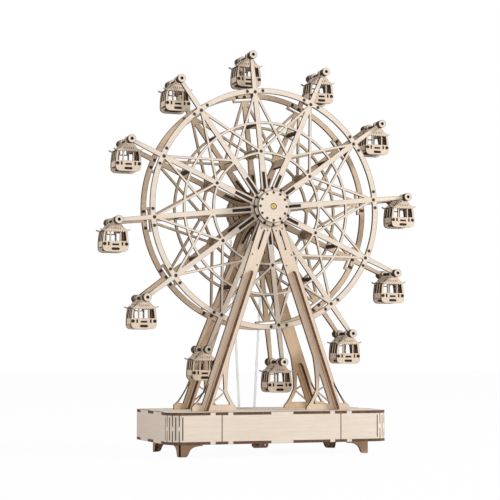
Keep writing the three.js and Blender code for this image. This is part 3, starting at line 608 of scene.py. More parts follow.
# Base box
CORNER_X, CORNER_Y, CORNER_STEPS = BASE_HALF_X - BASE_ROUND, BASE_HALF_Y - BASE_ROUND, 14
QUARTER = math.pi / 2 * BASE_ROUND
FRONT_TABS = [(0, WIDE_TAB)] + [(side * (SEAM + inset), SMALL_TAB)
                                for side in (-1, 1) for inset in (-TAB_INSET, TAB_INSET)]
LEG_INNER_X, LEG_OUTER_X, LEG_TAB, LEG_TAB_INSET = 28.2, 64.0, 5.0, 3.6
LEG_TAB_STARTS = (LEG_INNER_X + LEG_TAB_INSET, LEG_OUTER_X - LEG_TAB_INSET - LEG_TAB)
FOOT_X, FOOT_Y, FOOT_REACH, FOOT_TAB = 75.5, 35.5, 17.0, 5.0
KEY_BORE, BELT_SLOT, BELT_SLOT_WIDTH = 3.2, 18, 5


def rounded_plate():
    corners = ((CORNER_X, CORNER_Y), (-CORNER_X, CORNER_Y), (-CORNER_X, -CORNER_Y),
               (CORNER_X, -CORNER_Y))
    return [point for k, (x, y) in enumerate(corners)
            for point in arc(x, y, BASE_ROUND, 90 * k, 90 * k + 90, CORNER_STEPS)]


def tab_notches():
    """Notches in the plates' edges for every tab of the panels, as (x, y) outlines."""
    notches = []
    for side in (-1, 1):
        y0, y1 = sorted((side * (BASE_HALF_Y - PLY - TAB_AIR), side * (BASE_HALF_Y + PAST)))
        for x, width in FRONT_TABS:
            half = width / 2 + TAB_AIR
            notches.append(box(x - half, y0, x + half, y1))
        x0, x1 = sorted((side * (BASE_HALF_X - PLY - TAB_AIR), side * (BASE_HALF_X + PAST)))
        half = SIDE_TAB / 2 + TAB_AIR
        for y in (-SIDE_TAB_Y, SIDE_TAB_Y):
            notches.append(box(x0, y - half, x1, y + half))
    return notches


def deck():
    holes = tab_notches()
    for y in (FRONT_LEG_Y, BACK_LEG_Y):
        for start in LEG_TAB_STARTS:
            for x in (start, -start - LEG_TAB):
                holes.append(box(x - TAB_AIR, y - TAB_AIR,
                                 x + LEG_TAB + TAB_AIR, y + PLY + TAB_AIR))
    holes.append(slot_hole(0, BELT_Y, BELT_SLOT, BELT_SLOT_WIDTH))
    return sheet("deck_top", [rounded_plate()], holes, DECK_LOW, DECK_TOP, lying)


def floor_plate():
    holes = tab_notches() + [disc(0, 0, KEY_BORE)]
    half_x, half_y = FOOT_TAB / 2 + TAB_AIR, PLY / 2 + TAB_AIR
    for sx in (-1, 1):
        for sy in (-1, 1):
            x, y = sx * (FOOT_X - FOOT_REACH / 2), sy * FOOT_Y
            holes.append(box(x - half_x, y - half_y, x + half_x, y + half_y))
    return sheet("base_floor", [rounded_plate()], holes, FLOOR_LOW, FLOOR_TOP, lying)


def tab(x, width):
    """A panel's tab: one outline through the panel's height and both plates."""
    return box(x - width / 2, FLOOR_LOW, x + width / 2, DECK_TOP)


def middle_panel(name):
    """Front or back panel, with its tabs above and below."""
    half = SEAM - SEAM_AIR
    solids = [box(-half, FLOOR_TOP, half, DECK_LOW)]
    solids += [tab(x, width) for x, width in FRONT_TABS if abs(x) < SEAM]
    return sheet(name, solids, [], -BASE_HALF_Y, -BASE_HALF_Y + PLY)


# Stretches of the left wrap panel's outer face, from the front seam round to the back seam:
# kind, length, start of a line or centre of a bend, and its heading or first angle
STRAIGHT = CORNER_X - SEAM
BAND = (("line", STRAIGHT, (-SEAM, -BASE_HALF_Y), 180),
        ("bend", QUARTER, (-CORNER_X, -CORNER_Y), 270),
        ("line", 2 * CORNER_Y, (-BASE_HALF_X, -CORNER_Y), 90),
        ("bend", QUARTER, (-CORNER_X, CORNER_Y), 180),
        ("line", STRAIGHT, (-CORNER_X, BASE_HALF_Y), 0))
KERF_COLUMNS, KERF_BRIDGE, LONG_KERF_SHARE, WRAP_SCORCH = 7, 3.4, 0.86, 0.42


def bent(u, v, w):
    """Bends the flat panel: u along the band, v its height, w the depth below the outer face."""
    for kind, length, (x, y), angle in BAND:
        t = math.radians(angle)
        if u <= length + ROUNDING:
            if kind == "line":
                return (x + u * math.cos(t) + w * math.sin(t),
                        y + u * math.sin(t) - w * math.cos(t), v)
            t -= u / BASE_ROUND
            return x + (BASE_ROUND - w) * math.cos(t), y + (BASE_ROUND - w) * math.sin(t), v
        u -= length
    return -SEAM, BASE_HALF_Y - w, v


def wrap_panel(name):
    """The wrap panel laid flat, with its kerfs and fold lines, then bent."""
    starts = [0]
    for _, length, _, _ in BAND:
        starts.append(starts[-1] + length)
    total, side_middle = starts[-1], (starts[2] + starts[3]) / 2
    solids = [box(TAB_AIR, FLOOR_TOP, total - TAB_AIR, DECK_LOW)]
    for u, width in ((TAB_INSET, SMALL_TAB), (total - TAB_INSET, SMALL_TAB),
                     (side_middle - SIDE_TAB_Y, SIDE_TAB), (side_middle + SIDE_TAB_Y, SIDE_TAB)):
        solids.append(tab(u, width))
    holes, folds = [], []
    height, middle = DECK_LOW - FLOOR_TOP, (FLOOR_TOP + DECK_LOW) / 2
    run = (height - KERF_BRIDGE) / 2
    for start in (starts[1], starts[3]):
        for column in range(KERF_COLUMNS):
            u = start + QUARTER / KERF_COLUMNS * (column + 0.5)
            if column % 2 == 0:
                holes.append(slot_hole(u, middle, height * LONG_KERF_SHARE, SLIT, 90))
            else:
                holes.append(box(u - SLIT / 2, FLOOR_TOP - PAST, u + SLIT / 2, FLOOR_TOP + run))
                holes.append(box(u - SLIT / 2, DECK_LOW - run, u + SLIT / 2, DECK_LOW + PAST))
        for fold in range(CORNER_STEPS + 1):
            u = start + QUARTER * fold / CORNER_STEPS
            folds.append(((u, FLOOR_LOW - PAST), (u, DECK_TOP + PAST)))
    return sheet(name, solids, holes, 0, PLY, bent, WRAP_SCORCH, folds)


def scroll_foot(name, sx, sy):
    """Two scroll brackets that meet in a corner."""
    toe, lip, steps = 3.2, 1.6, 14
    high = FLOOR_LOW - lip
    scroll = (toe, 0), (FOOT_REACH / 2, 0), (toe, high), (FOOT_REACH, high)
    a, c1, c2, b = (Vector(point) for point in scroll)
    outline = [(0, 0), (toe, 0)]
    for i in range(1, steps + 1):
        t = i / steps
        outline.append(tuple((1 - t) ** 3 * a + 3 * t * (1 - t) ** 2 * c1
                             + 3 * t * t * (1 - t) * c2 + t ** 3 * b))
    outline += [(FOOT_REACH, FLOOR_LOW - TOUCH), (0, FLOOR_LOW - TOUCH)]
    peg = box((FOOT_REACH - FOOT_TAB) / 2, FLOOR_LOW - PAST,
              (FOOT_REACH + FOOT_TAB) / 2, FLOOR_TOP)
    x, y, half = sx * FOOT_X, sy * FOOT_Y, PLY / 2

    def along_x(u, v, w):
        return x - sx * u, y + (w - half), v

    def along_y(u, v, w):
        return x + (w - half), y - sy * (u if u > half else half + TOUCH), v

    return joined(name, [sheet(name + "_x", [outline, peg], [], 0, PLY, along_x),
                         sheet(name + "_y", [outline], [], 0, PLY, along_y)])


finish_piece(deck(), plate_ply, "base", "birch_ply", "deck_plate")
finish_piece(floor_plate(), plate_ply, "base", "birch_ply", "bottom_plate")
finish_piece(middle_panel("front_panel"), level_ply, "base", "birch_ply", "front_middle_panel")
finish_piece(mirror(middle_panel("back_panel"), 1), level_ply, "base", "birch_ply",
             "back_middle_panel")
finish_piece(wrap_panel("kerfed_corner_panel_left"), wrap_ply, "base", "birch_ply",
             "left_wrap_panel")
finish_piece(mirror(wrap_panel("kerfed_corner_panel_right"), 0), wrap_ply, "base", "birch_ply",
             "right_wrap_panel")
for sx, sy, corner in ((-1, -1, "front_left"), (1, -1, "front_right"),
                       (-1, 1, "back_left"), (1, 1, "back_right")):
    finish_piece(scroll_foot("scroll_foot_" + corner, sx, sy), foot_ply, "base", "scorched_ply",
                 "foot_" + corner)


# Towers. Runs are measured from the wheel's axis down the leg, offsets across it.
WAIST, SILL = DECK_TOP + 15.6, DECK_TOP + 4.8  # narrowest part of the foot; strip under the truss
TRUSS_STRIP, BRACE_WIDTH, BRACE_INSET = 1.1, 1.0, 0.25
RIB_TOP, RIB_THROUGH, RIB_SLIT_END, RIB_SLIT_HALF = 52.5, 127.5, 175, 1.1
PEG_SLOT_RUN, PEG_SLOT, PEG_SLOT_WIDTH, NAIL_RADIUS = 27, 16, 1.2, 0.45
NAILS = ((18.5, 2.6), (18.5, -2.6), (40, 3.2), (46.5, -3.2))
SHAFT_AIR, BEARING_STEPS = 0.3, 24
WHOLE_LEG = 60  # wide enough to reach past everything on one side


def leg_x(z, offset=0.0):
    return (HUB_Z - z) * math.tan(LEAN) + offset / math.cos(LEAN)


def along_leg(run, offset=0.0):
    """A point on the right leg, offset outwards."""
    return (run * math.sin(LEAN) + offset * math.cos(LEAN),
            HUB_Z - run * math.cos(LEAN) + offset * math.sin(LEAN))


def on_leg_edge(rise, offset):
    return leg_x(DECK_TOP + rise, offset), DECK_TOP + rise


def above_deck(x, rise):
    return x, DECK_TOP + rise


def leg_outline():
    """The right leg: down its outer edge, round the flared foot and up its inner edge."""
    half, instep, flare_top = LEG_WIDTH / 2, 36.2, 41
    outline = [(leg_x(HUB_Z, half), HUB_Z), on_leg_edge(23, half)]
    outline += curve(outline[-1], (leg_x(WAIST, half), WAIST), above_deck(59, 8.5))
    outline += curve(outline[-1], above_deck(61.5, 5), above_deck(LEG_OUTER_X, 3.6), 5)
    outline += [above_deck(LEG_OUTER_X, 0), above_deck(LEG_INNER_X, 0),
                above_deck(LEG_INNER_X, 2.2)]
    outline += curve(outline[-1], above_deck(32.6, 6.4), (instep, WAIST))
    knee = instep, (WAIST + DECK_TOP + flare_top) / 2
    outline += curve(outline[-1], knee, on_leg_edge(flare_top, -half))
    return outline + [(leg_x(HUB_Z, -half), HUB_Z)]


def truss_windows():
    """The openings of the foot on both sides of the leg's own strip."""
    strip = LEG_WIDTH / 2 - TRUSS_STRIP
    ankle, heel = 38.8, 34.4
    inner = [on_leg_edge(28.5, -strip), (ankle, WAIST + 2.6), (ankle, WAIST - 1)]
    inner += curve(inner[-1], (37.2, SILL + 5), (heel, SILL + 1.4), 5)
    inner += [(heel, SILL), (leg_x(SILL, -strip), SILL)]
    outer = [on_leg_edge(22, strip), (leg_x(SILL, strip), SILL), (60.2, SILL)]
    outer += curve(outer[-1], above_deck(58, 8.5), above_deck(56.2, 11.5), 4)
    return [inner, outer]


def tower_leg(name, sx, low):
    """A leg plate with half the head, its tabs in the deck, and two thin braces in the foot."""
    solids = [leg_outline(), disc(0, HUB_Z, LEG_HEAD, 48)]
    solids += [box(x, DECK_LOW, x + LEG_TAB, DECK_TOP + PAST) for x in LEG_TAB_STARTS]
    low_end, high_end, middle = DECK_LOW - PAST, HUB_Z + 20, 0.1
    other_leg = [(middle, low_end), (middle, high_end),
                 (-WHOLE_LEG, high_end), (-WHOLE_LEG, low_end)]
    holes = [other_leg, disc(0, HUB_Z, SHAFT + SHAFT_AIR, BEARING_STEPS)]
    holes.append(slot_hole(*along_leg(PEG_SLOT_RUN), PEG_SLOT, PEG_SLOT_WIDTH, LEAN_DEG - 90))
    holes += [disc(*along_leg(run, offset), NAIL_RADIUS, 10) for run, offset in NAILS]
    holes.append([along_leg(run, offset) for run, offset in (
        (RIB_THROUGH, -RIB_SLIT_HALF), (RIB_SLIT_END, -RIB_SLIT_HALF),
        (RIB_SLIT_END, RIB_SLIT_HALF), (RIB_THROUGH, RIB_SLIT_HALF))])
    parts = [sheet(name, solids, holes + truss_windows(), low, low + PLY)]
    for k, z in enumerate((WAIST + 2.6, SILL + 1)):
        brace = bar((37.6, WAIST - 1.4), (leg_x(z, -LEG_WIDTH / 2 + 2.0), z), BRACE_WIDTH)
        parts.append(sheet(name + str(k), [brace], [], low + BRACE_INSET, low + PLY - BRACE_INSET,
                           scorch=0.15))
    whole = joined(name, parts)
    return whole if sx > 0 else mirror(whole, 0)


def tower_rib(name, sx, sy):
    """A rib square on the leg; it passes through the plate near the foot."""
    face, out = (FRONT_LEG_Y, -1) if sy < 0 else (BACK_LEG_Y + PLY, 1)
    tip, root = face + out * RIB_PROUD, face + out * TOUCH
    inside, inner_tip = face - out * 0.3 - out * PLY, face - out * (PLY + RIB_PROUD)
    end = (HUB_Z - DECK_TOP) / math.cos(LEAN)
    outline = [(root, RIB_TOP), (face + out * 1.2, RIB_TOP)]
    outline += curve(outline[-1], (tip, RIB_TOP), (tip, RIB_TOP + 3.2), 8)
    outline += [(tip, end + 6), (inner_tip, end + 6), (inner_tip, RIB_THROUGH + 3.5)]
    outline += curve(outline[-1], (inner_tip, RIB_THROUGH), (inside, RIB_THROUGH), 6)
    outline += [(root, RIB_THROUGH)]
    reach, foot = 90, end - 0.62
    below = [(-reach, foot), (reach, foot), (reach, end + 30), (-reach, end + 30)]

    def stand(u, v, w):
        x, z = along_leg(v, w)
        return x, u, max(z, DECK_TOP + TOUCH)

    rib = sheet(name, [outline], [below], -PLY / 2, PLY / 2, stand, scorch=0.25)
    return rib if sx > 0 else mirror(rib, 0)


for sx, side, sy, depth, low, leg_ply, rib_ply in (
        (-1, "left", -1, "front", FRONT_LEG_Y, left_leg_ply, front_rib_left_ply),
        (-1, "left", 1, "back", BACK_LEG_Y, left_rib_ply, left_rib_ply),
        (1, "right", -1, "front", FRONT_LEG_Y, right_leg_ply, front_rib_right_ply),
        (1, "right", 1, "back", BACK_LEG_Y, right_rib_ply, right_rib_ply)):
    node, place = depth + "_" + side + "_leg", depth + "_" + side
    finish_piece(tower_leg("tower_leg_" + place, sx, low), leg_ply, "base", "birch_ply", node)
    finish_piece(tower_rib("tower_rib_" + place, sx, sy), rib_ply, "base", "birch_ply",
                 node + "_rib")


# Hub discs: name of the disc and of its pegs, radius, peg ring and first peg, the face that the
# disc lies on, the side it lies on, and its node
PEGS, PEG_HOLE, PEG = 12, 0.85, 0.8
PEG_SUNK, PEG_CLEAR = 0.25, 0.08  # how deep the ends stay below the outer and the inner face
HUB_DISCS = (
    ("hub_cap_disc", "hub_cap_pegs", 12.5, 10.7, 0,
     FRONT_LEG_Y - PLY, -1, "front_hub_cap"),
    ("bearing_disc_front", "bearing_pegs_front", 15, 13.9, 2,
     FRONT_LEG_Y, -1, "front_bearing_plate"),
    ("bearing_disc_back", "bearing_pegs_back", 15, 13.9, 2,
     BACK_LEG_Y + PLY, 1, "back_bearing_plate"))


def hub_disc(name, radius, ring, first, face, out):
    """A disc with its ring of peg holes."""
    holes = [disc(0, HUB_Z, SHAFT + SHAFT_AIR, 32)]
    for k in range(PEGS):
        x, z = polar(ring, first + 360 / PEGS * k)
        holes.append(disc(x, HUB_Z + z, PEG_HOLE, 16))
    low, high = sorted((face + out * TOUCH, face + out * PLY))
    return sheet(name, [disc(0, HUB_Z, radius, 96)], holes, low, high)


def peg_circle(name, ring, first, face, out):
    x, z = polar(ring, first)
    low, high = sorted((face + out * (TOUCH + PEG_CLEAR), face + out * (PLY - PEG_SUNK)))
    peg = sheet(name, [disc(x, HUB_Z + z, PEG, 12)], [], low, high, scorch=PEG_SCORCH)
    return around_hub(peg, dark_peg, PEGS)


for name, _, radius, ring, first, face, out, node in HUB_DISCS:
    finish_piece(hub_disc(name, radius, ring, first, face, out), level_ply, "base", "birch_ply",
                 node)
for _, name, _, ring, first, face, out, _ in HUB_DISCS:
    finish_piece(peg_circle(name, ring, first, face, out), dark_peg, "base", "scorched_ply")


# Wheel. One sector is drawn with its arm along +X, turned to its place and repeated.
STEP = 360 / ARMS
PAST_SECTOR = HALF_SECTOR + 1  # sectors are drawn too wide and trimmed
ARM_HALF_WIDTHS = [(0, 3), (24, 2.75), (MID_NODE, 1.95), (RIM_NODE, 1.95), (REACH, 1.4)]
NODE_DISCS = ((REACH, 3.0, 24), (RIM_NODE, 2.6, 20), (MID_NODE, 2.9, 20))
HUB_RADIUS, AXLE_HOLE = 14.6, 1.4
HUB_SLOT_IN, HUB_SLOT_OUT, HUB_SLOT_HALF = 13.4, 28.4, 1.1
RIM_HOLES = ((RIM_NODE, 0, 1.2), (*polar(92.1, 4), 1.1), (*polar(92.1, -4), 1.1))
SHAFT_BORE = 2.3  # round the brass shaft
BETWEEN = FRONT_FRAME_Y + PLY + TOUCH, BACK_FRAME_Y - TOUCH  # clear depth between the frames


def ring_sector(inner, outer, steps=16):
    return (arc(0, 0, outer, -PAST_SECTOR, PAST_SECTOR, steps)
            + arc(0, 0, inner, PAST_SECTOR, -PAST_SECTOR, steps))


def sector_outlines():
    """One arm with its share of rim, hoops, struts and hub disc."""
    solids = [[(u, -v) for u, v in ARM_HALF_WIDTHS] + ARM_HALF_WIDTHS[::-1]]
    solids += [disc(u, 0, radius, steps) for u, radius, steps in NODE_DISCS]
    solids.append([(0, 0)] + arc(0, 0, HUB_RADIUS, -PAST_SECTOR, PAST_SECTOR, 10))
    solids.append(ring_sector(RIM_IN, RIM_OUT))
    solids += [ring_sector(r - HOOP_WIDTH / 2, r + HOOP_WIDTH / 2) for r in (HOOP, INNER_HOOP)]
    for side in (-1, 1):
        solids.append(bar((RIM_NODE, 0), polar(MID_NODE, side * STEP), STRUT))
        solids.append(bar((MID_NODE, 0), polar(RIM_NODE, side * STEP), STRUT))
    holes = [disc(u, v, radius, 16) for u, v, radius in RIM_HOLES + ((REACH, 0, AXLE_HOLE),)]
    return solids, holes + [box(HUB_SLOT_IN, -HUB_SLOT_HALF, HUB_SLOT_OUT, HUB_SLOT_HALF)]


def on_arm(u, v):
    """The first arm's plane turned to its rest angle about the hub."""
    x, z = polar(1, FIRST_ARM)
    return u * x - v * z, HUB_Z + u * z + v * x


def on_wheel(u, v, w):
    x, z = on_arm(u, v)
    return x, w, z


def radial(u, v, w):
    """Stands a sheet along the arm: u out from the hub, v the depth of the wheel."""
    x, z = on_arm(u, w)
    return x, v, z


def sector_cap(solids, holes):
    """The flat sector with its scorched band, trimmed to exactly one share of the wheel."""
    far = REACH + 20
    wedge = [(0, 0), polar(far, -HALF_SECTOR - 3), polar(far, HALF_SECTOR + 3)]
    rays = [((0, 0), polar(far, angle)) for angle in (-HALF_SECTOR, HALF_SECTOR)]
    flat, burnt = scorched_faces(*cut_out(solids, holes, wedge, rays), SCORCH, rays)
    limit = math.radians(HALF_SECTOR)
    middles = [(f, f.calc_center_median()) for f in flat.faces]
    spare = [f for f, middle in middles if abs(math.atan2(middle.y, middle.x)) > limit]
    bmesh.ops.delete(flat, geom=spare, context="FACES")
    slope = math.tan(limit)

    def on_the_trim(a, b):
        return all(abs(abs(p.y) - p.x * slope) < WELD for p in (a, b))

    return flat_data(flat, burnt, on_the_trim)


def wheel_sheet(name, low, material, extra_solids=(), extra_holes=()):
    solids, holes = sector_outlines()
    cap = sector_cap(solids + list(extra_solids), holes + list(extra_holes))
    return around_hub(thickened(name, *cap, on_wheel, low, low + PLY), material)


def wheel_pegs(name, low):
    """Dark pegs in the holes of one frame, and the spool ends at every second middle node."""
    air, sunk, proud = 0.06, 0.15, 0.08
    pegs = [sheet(name + str(k), [disc(u, v, radius - air, 16)], [], low + sunk, low + PLY - sunk,
                  on_wheel, PEG_SCORCH) for k, (u, v, radius) in enumerate(RIM_HOLES)]
    rim_pegs = around_hub(joined(name, pegs), dark_peg)
    spool_end = sheet(name + "_spools", [disc(*polar(MID_NODE, STEP), 1.3, 20)], [],
                      low - proud, low + PLY + proud, on_wheel, PEG_SCORCH)
    return joined(name, [rim_pegs, around_hub(spool_end, dark_peg, ARMS // 2)])


def hub_rib_set():
    """Twelve ribs round a core, waisted between the frames; their tabs fill the slots of both."""
    inner, outer, lip, thin, air = 4.6, 28.6, 1.4, 0.05, 0.15
    y0, y1 = FRONT_FRAME_Y + PLY, BACK_FRAME_Y
    front = [(outer, y0), (outer, y0 + lip)]
    front += curve(front[-1], (15.2, y0 + 2.4), (14.4, MID_Y))
    back = [(u, 2 * MID_Y - v) for u, v in front[:-1]][::-1]
    tabs = [box(HUB_SLOT_IN + air, v0, HUB_SLOT_OUT - air, v1)
            for v0, v1 in ((y0 - PLY + 0.1, y0 + 1), (y1 - 1, y1 + PLY - 0.1))]
    rib = sheet("hub_ribs", [[(inner, y0)] + front + back + [(inner, y1)]] + tabs, [],
                thin - PLY / 2, PLY / 2 - thin, radial)
    ribs = around_hub(rib, painted_shade_ply, weld=0.0)
    section = [(SHAFT_BORE, y0), (6.2, y0), (6.2, y1), (SHAFT_BORE, y1), (SHAFT_BORE, y0)]
    return joined("hub_ribs", [ribs, lathe("hub_core", section, (0, 0, HUB_Z), 40, burn=1.0)])


def hoop_bars():
    """Square bars from frame to frame, one on each arm at the hoop."""
    half = 1.2
    square = box(HOOP - half, -half, HOOP + half, half)
    return around_hub(sheet("hoop_bars", [square], [], *BETWEEN, on_wheel, 0.2), level_ply)


def tie_plates():
    """Plates from frame to frame near the middle node of each arm that has no spool."""
    outline = box(37.0, BETWEEN[0], 44.4, BETWEEN[1])
    plate = sheet("tie_plates", [outline], [], -PLY / 2, PLY / 2, radial)
    return around_hub(plate, painted_shade_ply, ARMS // 2, 0.0)


def rod(radius, low, high):
    """Section of a plain round bar."""
    return [(0, low), (radius, low), (radius, high), (0, high)]


def soft_rim(radius, low, high, soft):
    """The outer part of a turned section, with both corners taken off."""
    return [(radius - soft, low), (radius, low + soft),
            (radius, high - soft), (radius - soft, high)]


def spools():
    """Rods at every second middle node, with one burnt washer in front and three behind."""
    y0, y1 = BETWEEN
    radius, collar, soft = 1.6, 3.3, 0.15
    x, z = on_arm(*polar(MID_NODE, STEP))
    parts = [lathe("mid_rods", rod(radius, y0, y1), (x, 0, z), 20, burn=0.25)]
    for low, high in ((y0, y0 + 1.5), (y1 - 6, y1 - 4.04), (y1 - 4, y1 - 2.04), (y1 - 2, y1)):
        section = [(radius, low), *soft_rim(collar, low, high, soft),
                   (radius, high), (radius, low)]
        parts.append(lathe("washer", section, (x, 0, z), 28, burn=0.5))
    return around_hub(joined("mid_spools", parts), painted_shade_ply, ARMS // 2, 0.0)


# The back frame also has a plate behind the rim with a slot in it, and larger middle nodes
back_plate = [(87.1, -9.6), (93, -9.6), (93, 9.6), (87.1, 9.6)]
back_slot = slot_hole(89.3, 0, 16, 1.8, 90)
back_node = disc(MID_NODE, 0, 4.4, 28)
front_frame = wheel_sheet("wheel_frame_front", FRONT_FRAME_Y, level_ply)
# the back frame takes the painted-shade tint
back_frame = wheel_sheet("wheel_frame_back", BACK_FRAME_Y, painted_shade_ply, [back_plate, back_node],
                         [back_slot])
finish_piece(front_frame, level_ply, "wheel", "birch_ply", "wheel_front_frame")
finish_piece(back_frame, painted_shade_ply, "wheel", "birch_ply", "wheel_back_frame")
finish_piece(wheel_pegs("frame_pegs_front", FRONT_FRAME_Y), dark_peg, "wheel", "scorched_ply")
finish_piece(wheel_pegs("frame_pegs_back", BACK_FRAME_Y), dark_peg, "wheel", "scorched_ply")
finish_piece(hub_rib_set(), painted_shade_ply, "wheel", "birch_ply", "hub_ribs")
finish_piece(hoop_bars(), level_ply, "wheel", "birch_ply")
finish_piece(spools(), painted_shade_ply, "wheel", "birch_ply")
finish_piece(tie_plates(), painted_shade_ply, "wheel", "birch_ply")


def washer_stack(name, y0, y1):
    """Four plywood washers side by side on the shaft, each with burnt sides."""
    leaves, radius = 4, 4.2
    step = (y1 - y0) / leaves
    ring, bore = disc(0, HUB_Z, radius, 40), disc(0, HUB_Z, SHAFT_BORE, 28)
    return joined(name, [sheet(name + str(k), [ring], [bore], y0 + k * step + TOUCH,
                               y0 + k * step + step - TOUCH) for k in range(leaves)])


finish_piece(washer_stack("wheel_spacer_front", FRONT_LEG_Y + PLY + 0.3, FRONT_FRAME_Y - TOUCH),
             level_ply, "wheel", "birch_ply", "front_spacer")
finish_piece(washer_stack("wheel_spacer_back", BACK_FRAME_Y + PLY + TOUCH, BACK_LEG_Y - 0.3),
             level_ply, "wheel", "birch_ply", "back_spacer")

# The shaft: a pin with a small dimple in its front end
pin_front, pin_back, dimple = -31.6, BELT_Y + 2.3, 1.4
pin_section = [(0, pin_front + dimple), (0.9, pin_front + dimple), (0.95, pin_front + 0.15),
               (1.15, pin_front), (1.8, pin_front), (SHAFT, pin_front + 0.25),
               (SHAFT, pin_back - 0.25), (1.8, pin_back), (0, pin_back)]
finish_piece(lathe("brass_hub_pin", pin_section, (0, 0, HUB_Z), 48), polished_brass, "wheel",
             "brass", "wheel_shaft")


def grooved_pulley(name, belt_radius, bore, z, body, node):
    """Three leaves: two flanges and the smaller one between them that the belt runs on."""
    groove, flange = belt_radius - BELT_SIZE / 2 - 0.3, belt_radius + BELT_SIZE / 2 + 1.3
    half, flange_leaf, gap = BELT_SIZE / 2 + 0.3, 1.2, 0.01
    hole, leaves = disc(0, z, bore, 28), []
    for k, (radius, y0, y1) in enumerate(((flange, -half - flange_leaf, -half),
                                          (groove, -half + gap, half - gap),
                                          (flange, half, half + flange_leaf))):
        leaves.append(sheet(name + str(k), [disc(0, z, radius, 80)], [hole],
                            BELT_Y + y0, BELT_Y + y1))
    finish_piece(joined(name, leaves), level_ply, body, "birch_ply", node)


grooved_pulley("belt_pulley_hub", HUB_BELT, SHAFT_BORE, HUB_Z, "wheel", "hub_pulley")
grooved_pulley("belt_pulley_drive", DRIVE_BELT, 1.5, DRIVE_Z, "cylinder", "drive_pulley")


def belt_loop():
    """The belt's line round both pulleys, with a soft square section."""
    steps, half, soft = 24, BELT_SIZE / 2, 0.25
    lean = math.degrees(math.asin((HUB_BELT - DRIVE_BELT) / (HUB_Z - DRIVE_Z)))
    section = [(-half, -half + soft), (-half + soft, -half), (half - soft, -half),
               (half, -half + soft), (half, half - soft), (half - soft, half),
               (-half + soft, half), (-half, half - soft)]
    body = bmesh.new()
    rings = []
    for z, radius, start, end in ((HUB_Z, HUB_BELT, -lean, 180 + lean),
                                  (DRIVE_Z, DRIVE_BELT, 180 + lean, 360 - lean)):
        for i in range(steps + 1):
            nx, nz = polar(1, start + (end - start) * i / steps)
            places = [((radius + a) * nx, BELT_Y + b, z + (radius + a) * nz) for a, b in section]
            rings.append([body.verts.new(Vector(place) * MM) for place in places])
    for ring, following in zip(rings, rings[1:] + rings[:1]):
        for i in range(len(section)):
            j = (i + 1) % len(section)
            body.faces.new([ring[i], ring[j], following[j], following[i]])
    bmesh.ops.recalc_face_normals(body, faces=body.faces[:])
    return to_object("drive_belt", body)


finish_piece(belt_loop(), belt_silicone, "base", "silicone", "belt")


# Cabins, drawn about their axle at the origin
CABIN_HALF, EYE = 8.0, 3
WINDOW_TOP, WINDOW_SILL, POST, HALF_POST = 8.3, 15.5, 3.9, 0.5
WINDOW_WIDE_TOP, WINDOW_WIDE_SILL, BACK_WINDOW_TOP = 7.5, 8.35, 9.9
PEG_X, PEG_Z, PEG_ROUND = 8.4, -17.7, 1.25
TAB_X, TAB_HALF, TAB_LOW, TAB_HIGH = 5.3, 0.6, -18.9, -16.4
SILL_TAB_HALF, SILL_TAB_LOW, SILL_TAB_HIGH = 2.5, -18.8, -17.5
FLOOR_TAB_Z, FLOOR_TAB, FLOOR_TAB_HIGH = -21.4, 6.2, 1.8
CABIN_AIR, LACE = 0.08, 0.5  # air round a tab, and thickness of the lace
TRANSOM = box(-2.7, -9.2, 2.7, -5.8)
WALL_TOP, WALL_LOW, WALL_FOLD = -8.1, -19.9, -16
WALL_WINDOWS, WALL_WINDOW_HALF = (-4.6, 0, 4.6), 1.4
WALL_WINDOW_TOP, WALL_WINDOW_SILL = -8.6, -15.4
ROOF_PITCH, ROOF_LENGTH, ROOF_LOW, ROOF_HIGH = math.radians(43), 8.6, -0.55, 0.35
ROOF_PINS = [disc(y, run, 0.62, 10) for run in (2.6, 5.2) for y in (-4.4, -1.5, 1.5, 4.4)]


def cabin_end_outline():
    """Eye, bell-shaped gable with an ear at each eave, bulging sides, round lower corners."""
    half = curve((2.6, -1.5), (4.4, -2.4), (5.6, -4.3), 4)
    half += curve(half[-1], (7.0, -6.4), (9.2, -6.9), 4)
    half += curve(half[-1], (10.6, -6.8), (11.4, -6.2), 3)
    half += [(11.55, -6.75)] + curve((11.55, -6.75), (10.7, -7.7), (9.0, -7.9), 3)
    half += curve(half[-1], (9.9, -12.5), (10, -17), 5) + [(10, -19.4)]
    half += curve(half[-1], (10, -23.7), (5.7, -23.7), 6)
    return arc(0, 0, EYE, -30, 210, 20) + [(-x, z) for x, z in half] + half[::-1]


def tab_row(air=0.0):
    """The peg ends and tabs in the row below the sill, smaller by the air round them."""
    row = []
    for x, peg_x in ((-TAB_X, -PEG_X), (TAB_X, PEG_X)):
        row.append(disc(peg_x, PEG_Z, PEG_ROUND - air, 18))
        row.append(box(x - TAB_HALF + air, TAB_LOW + air, x + TAB_HALF - air, TAB_HIGH - air))
    half = SILL_TAB_HALF - air
    return row + [box(-half, SILL_TAB_LOW + air, half, SILL_TAB_HIGH - air)]


def cabin_end_holes(transom=()):
    """Three windows, the axle's hole, the row below the sill, and the wide slot at the bottom."""
    edge = -POST - HALF_POST
    left = [(-WINDOW_WIDE_SILL, -WINDOW_SILL), (edge, -WINDOW_SILL), (edge, -WINDOW_TOP),
            (-WINDOW_WIDE_TOP, -WINDOW_TOP)]
    left += curve(left[-1], (-8.1, -11.5), left[0], 4)[:-1]
    top = BACK_WINDOW_TOP if transom else WINDOW_TOP
    middle = box(-POST + HALF_POST, -WINDOW_SILL, POST - HALF_POST, -top)
    return [left, middle, mirrored(left), disc(0, 0, AXLE_HOLE, 16), *transom, *tab_row(),
            slot_hole(0, FLOOR_TAB_Z, FLOOR_TAB, FLOOR_TAB_HIGH)]


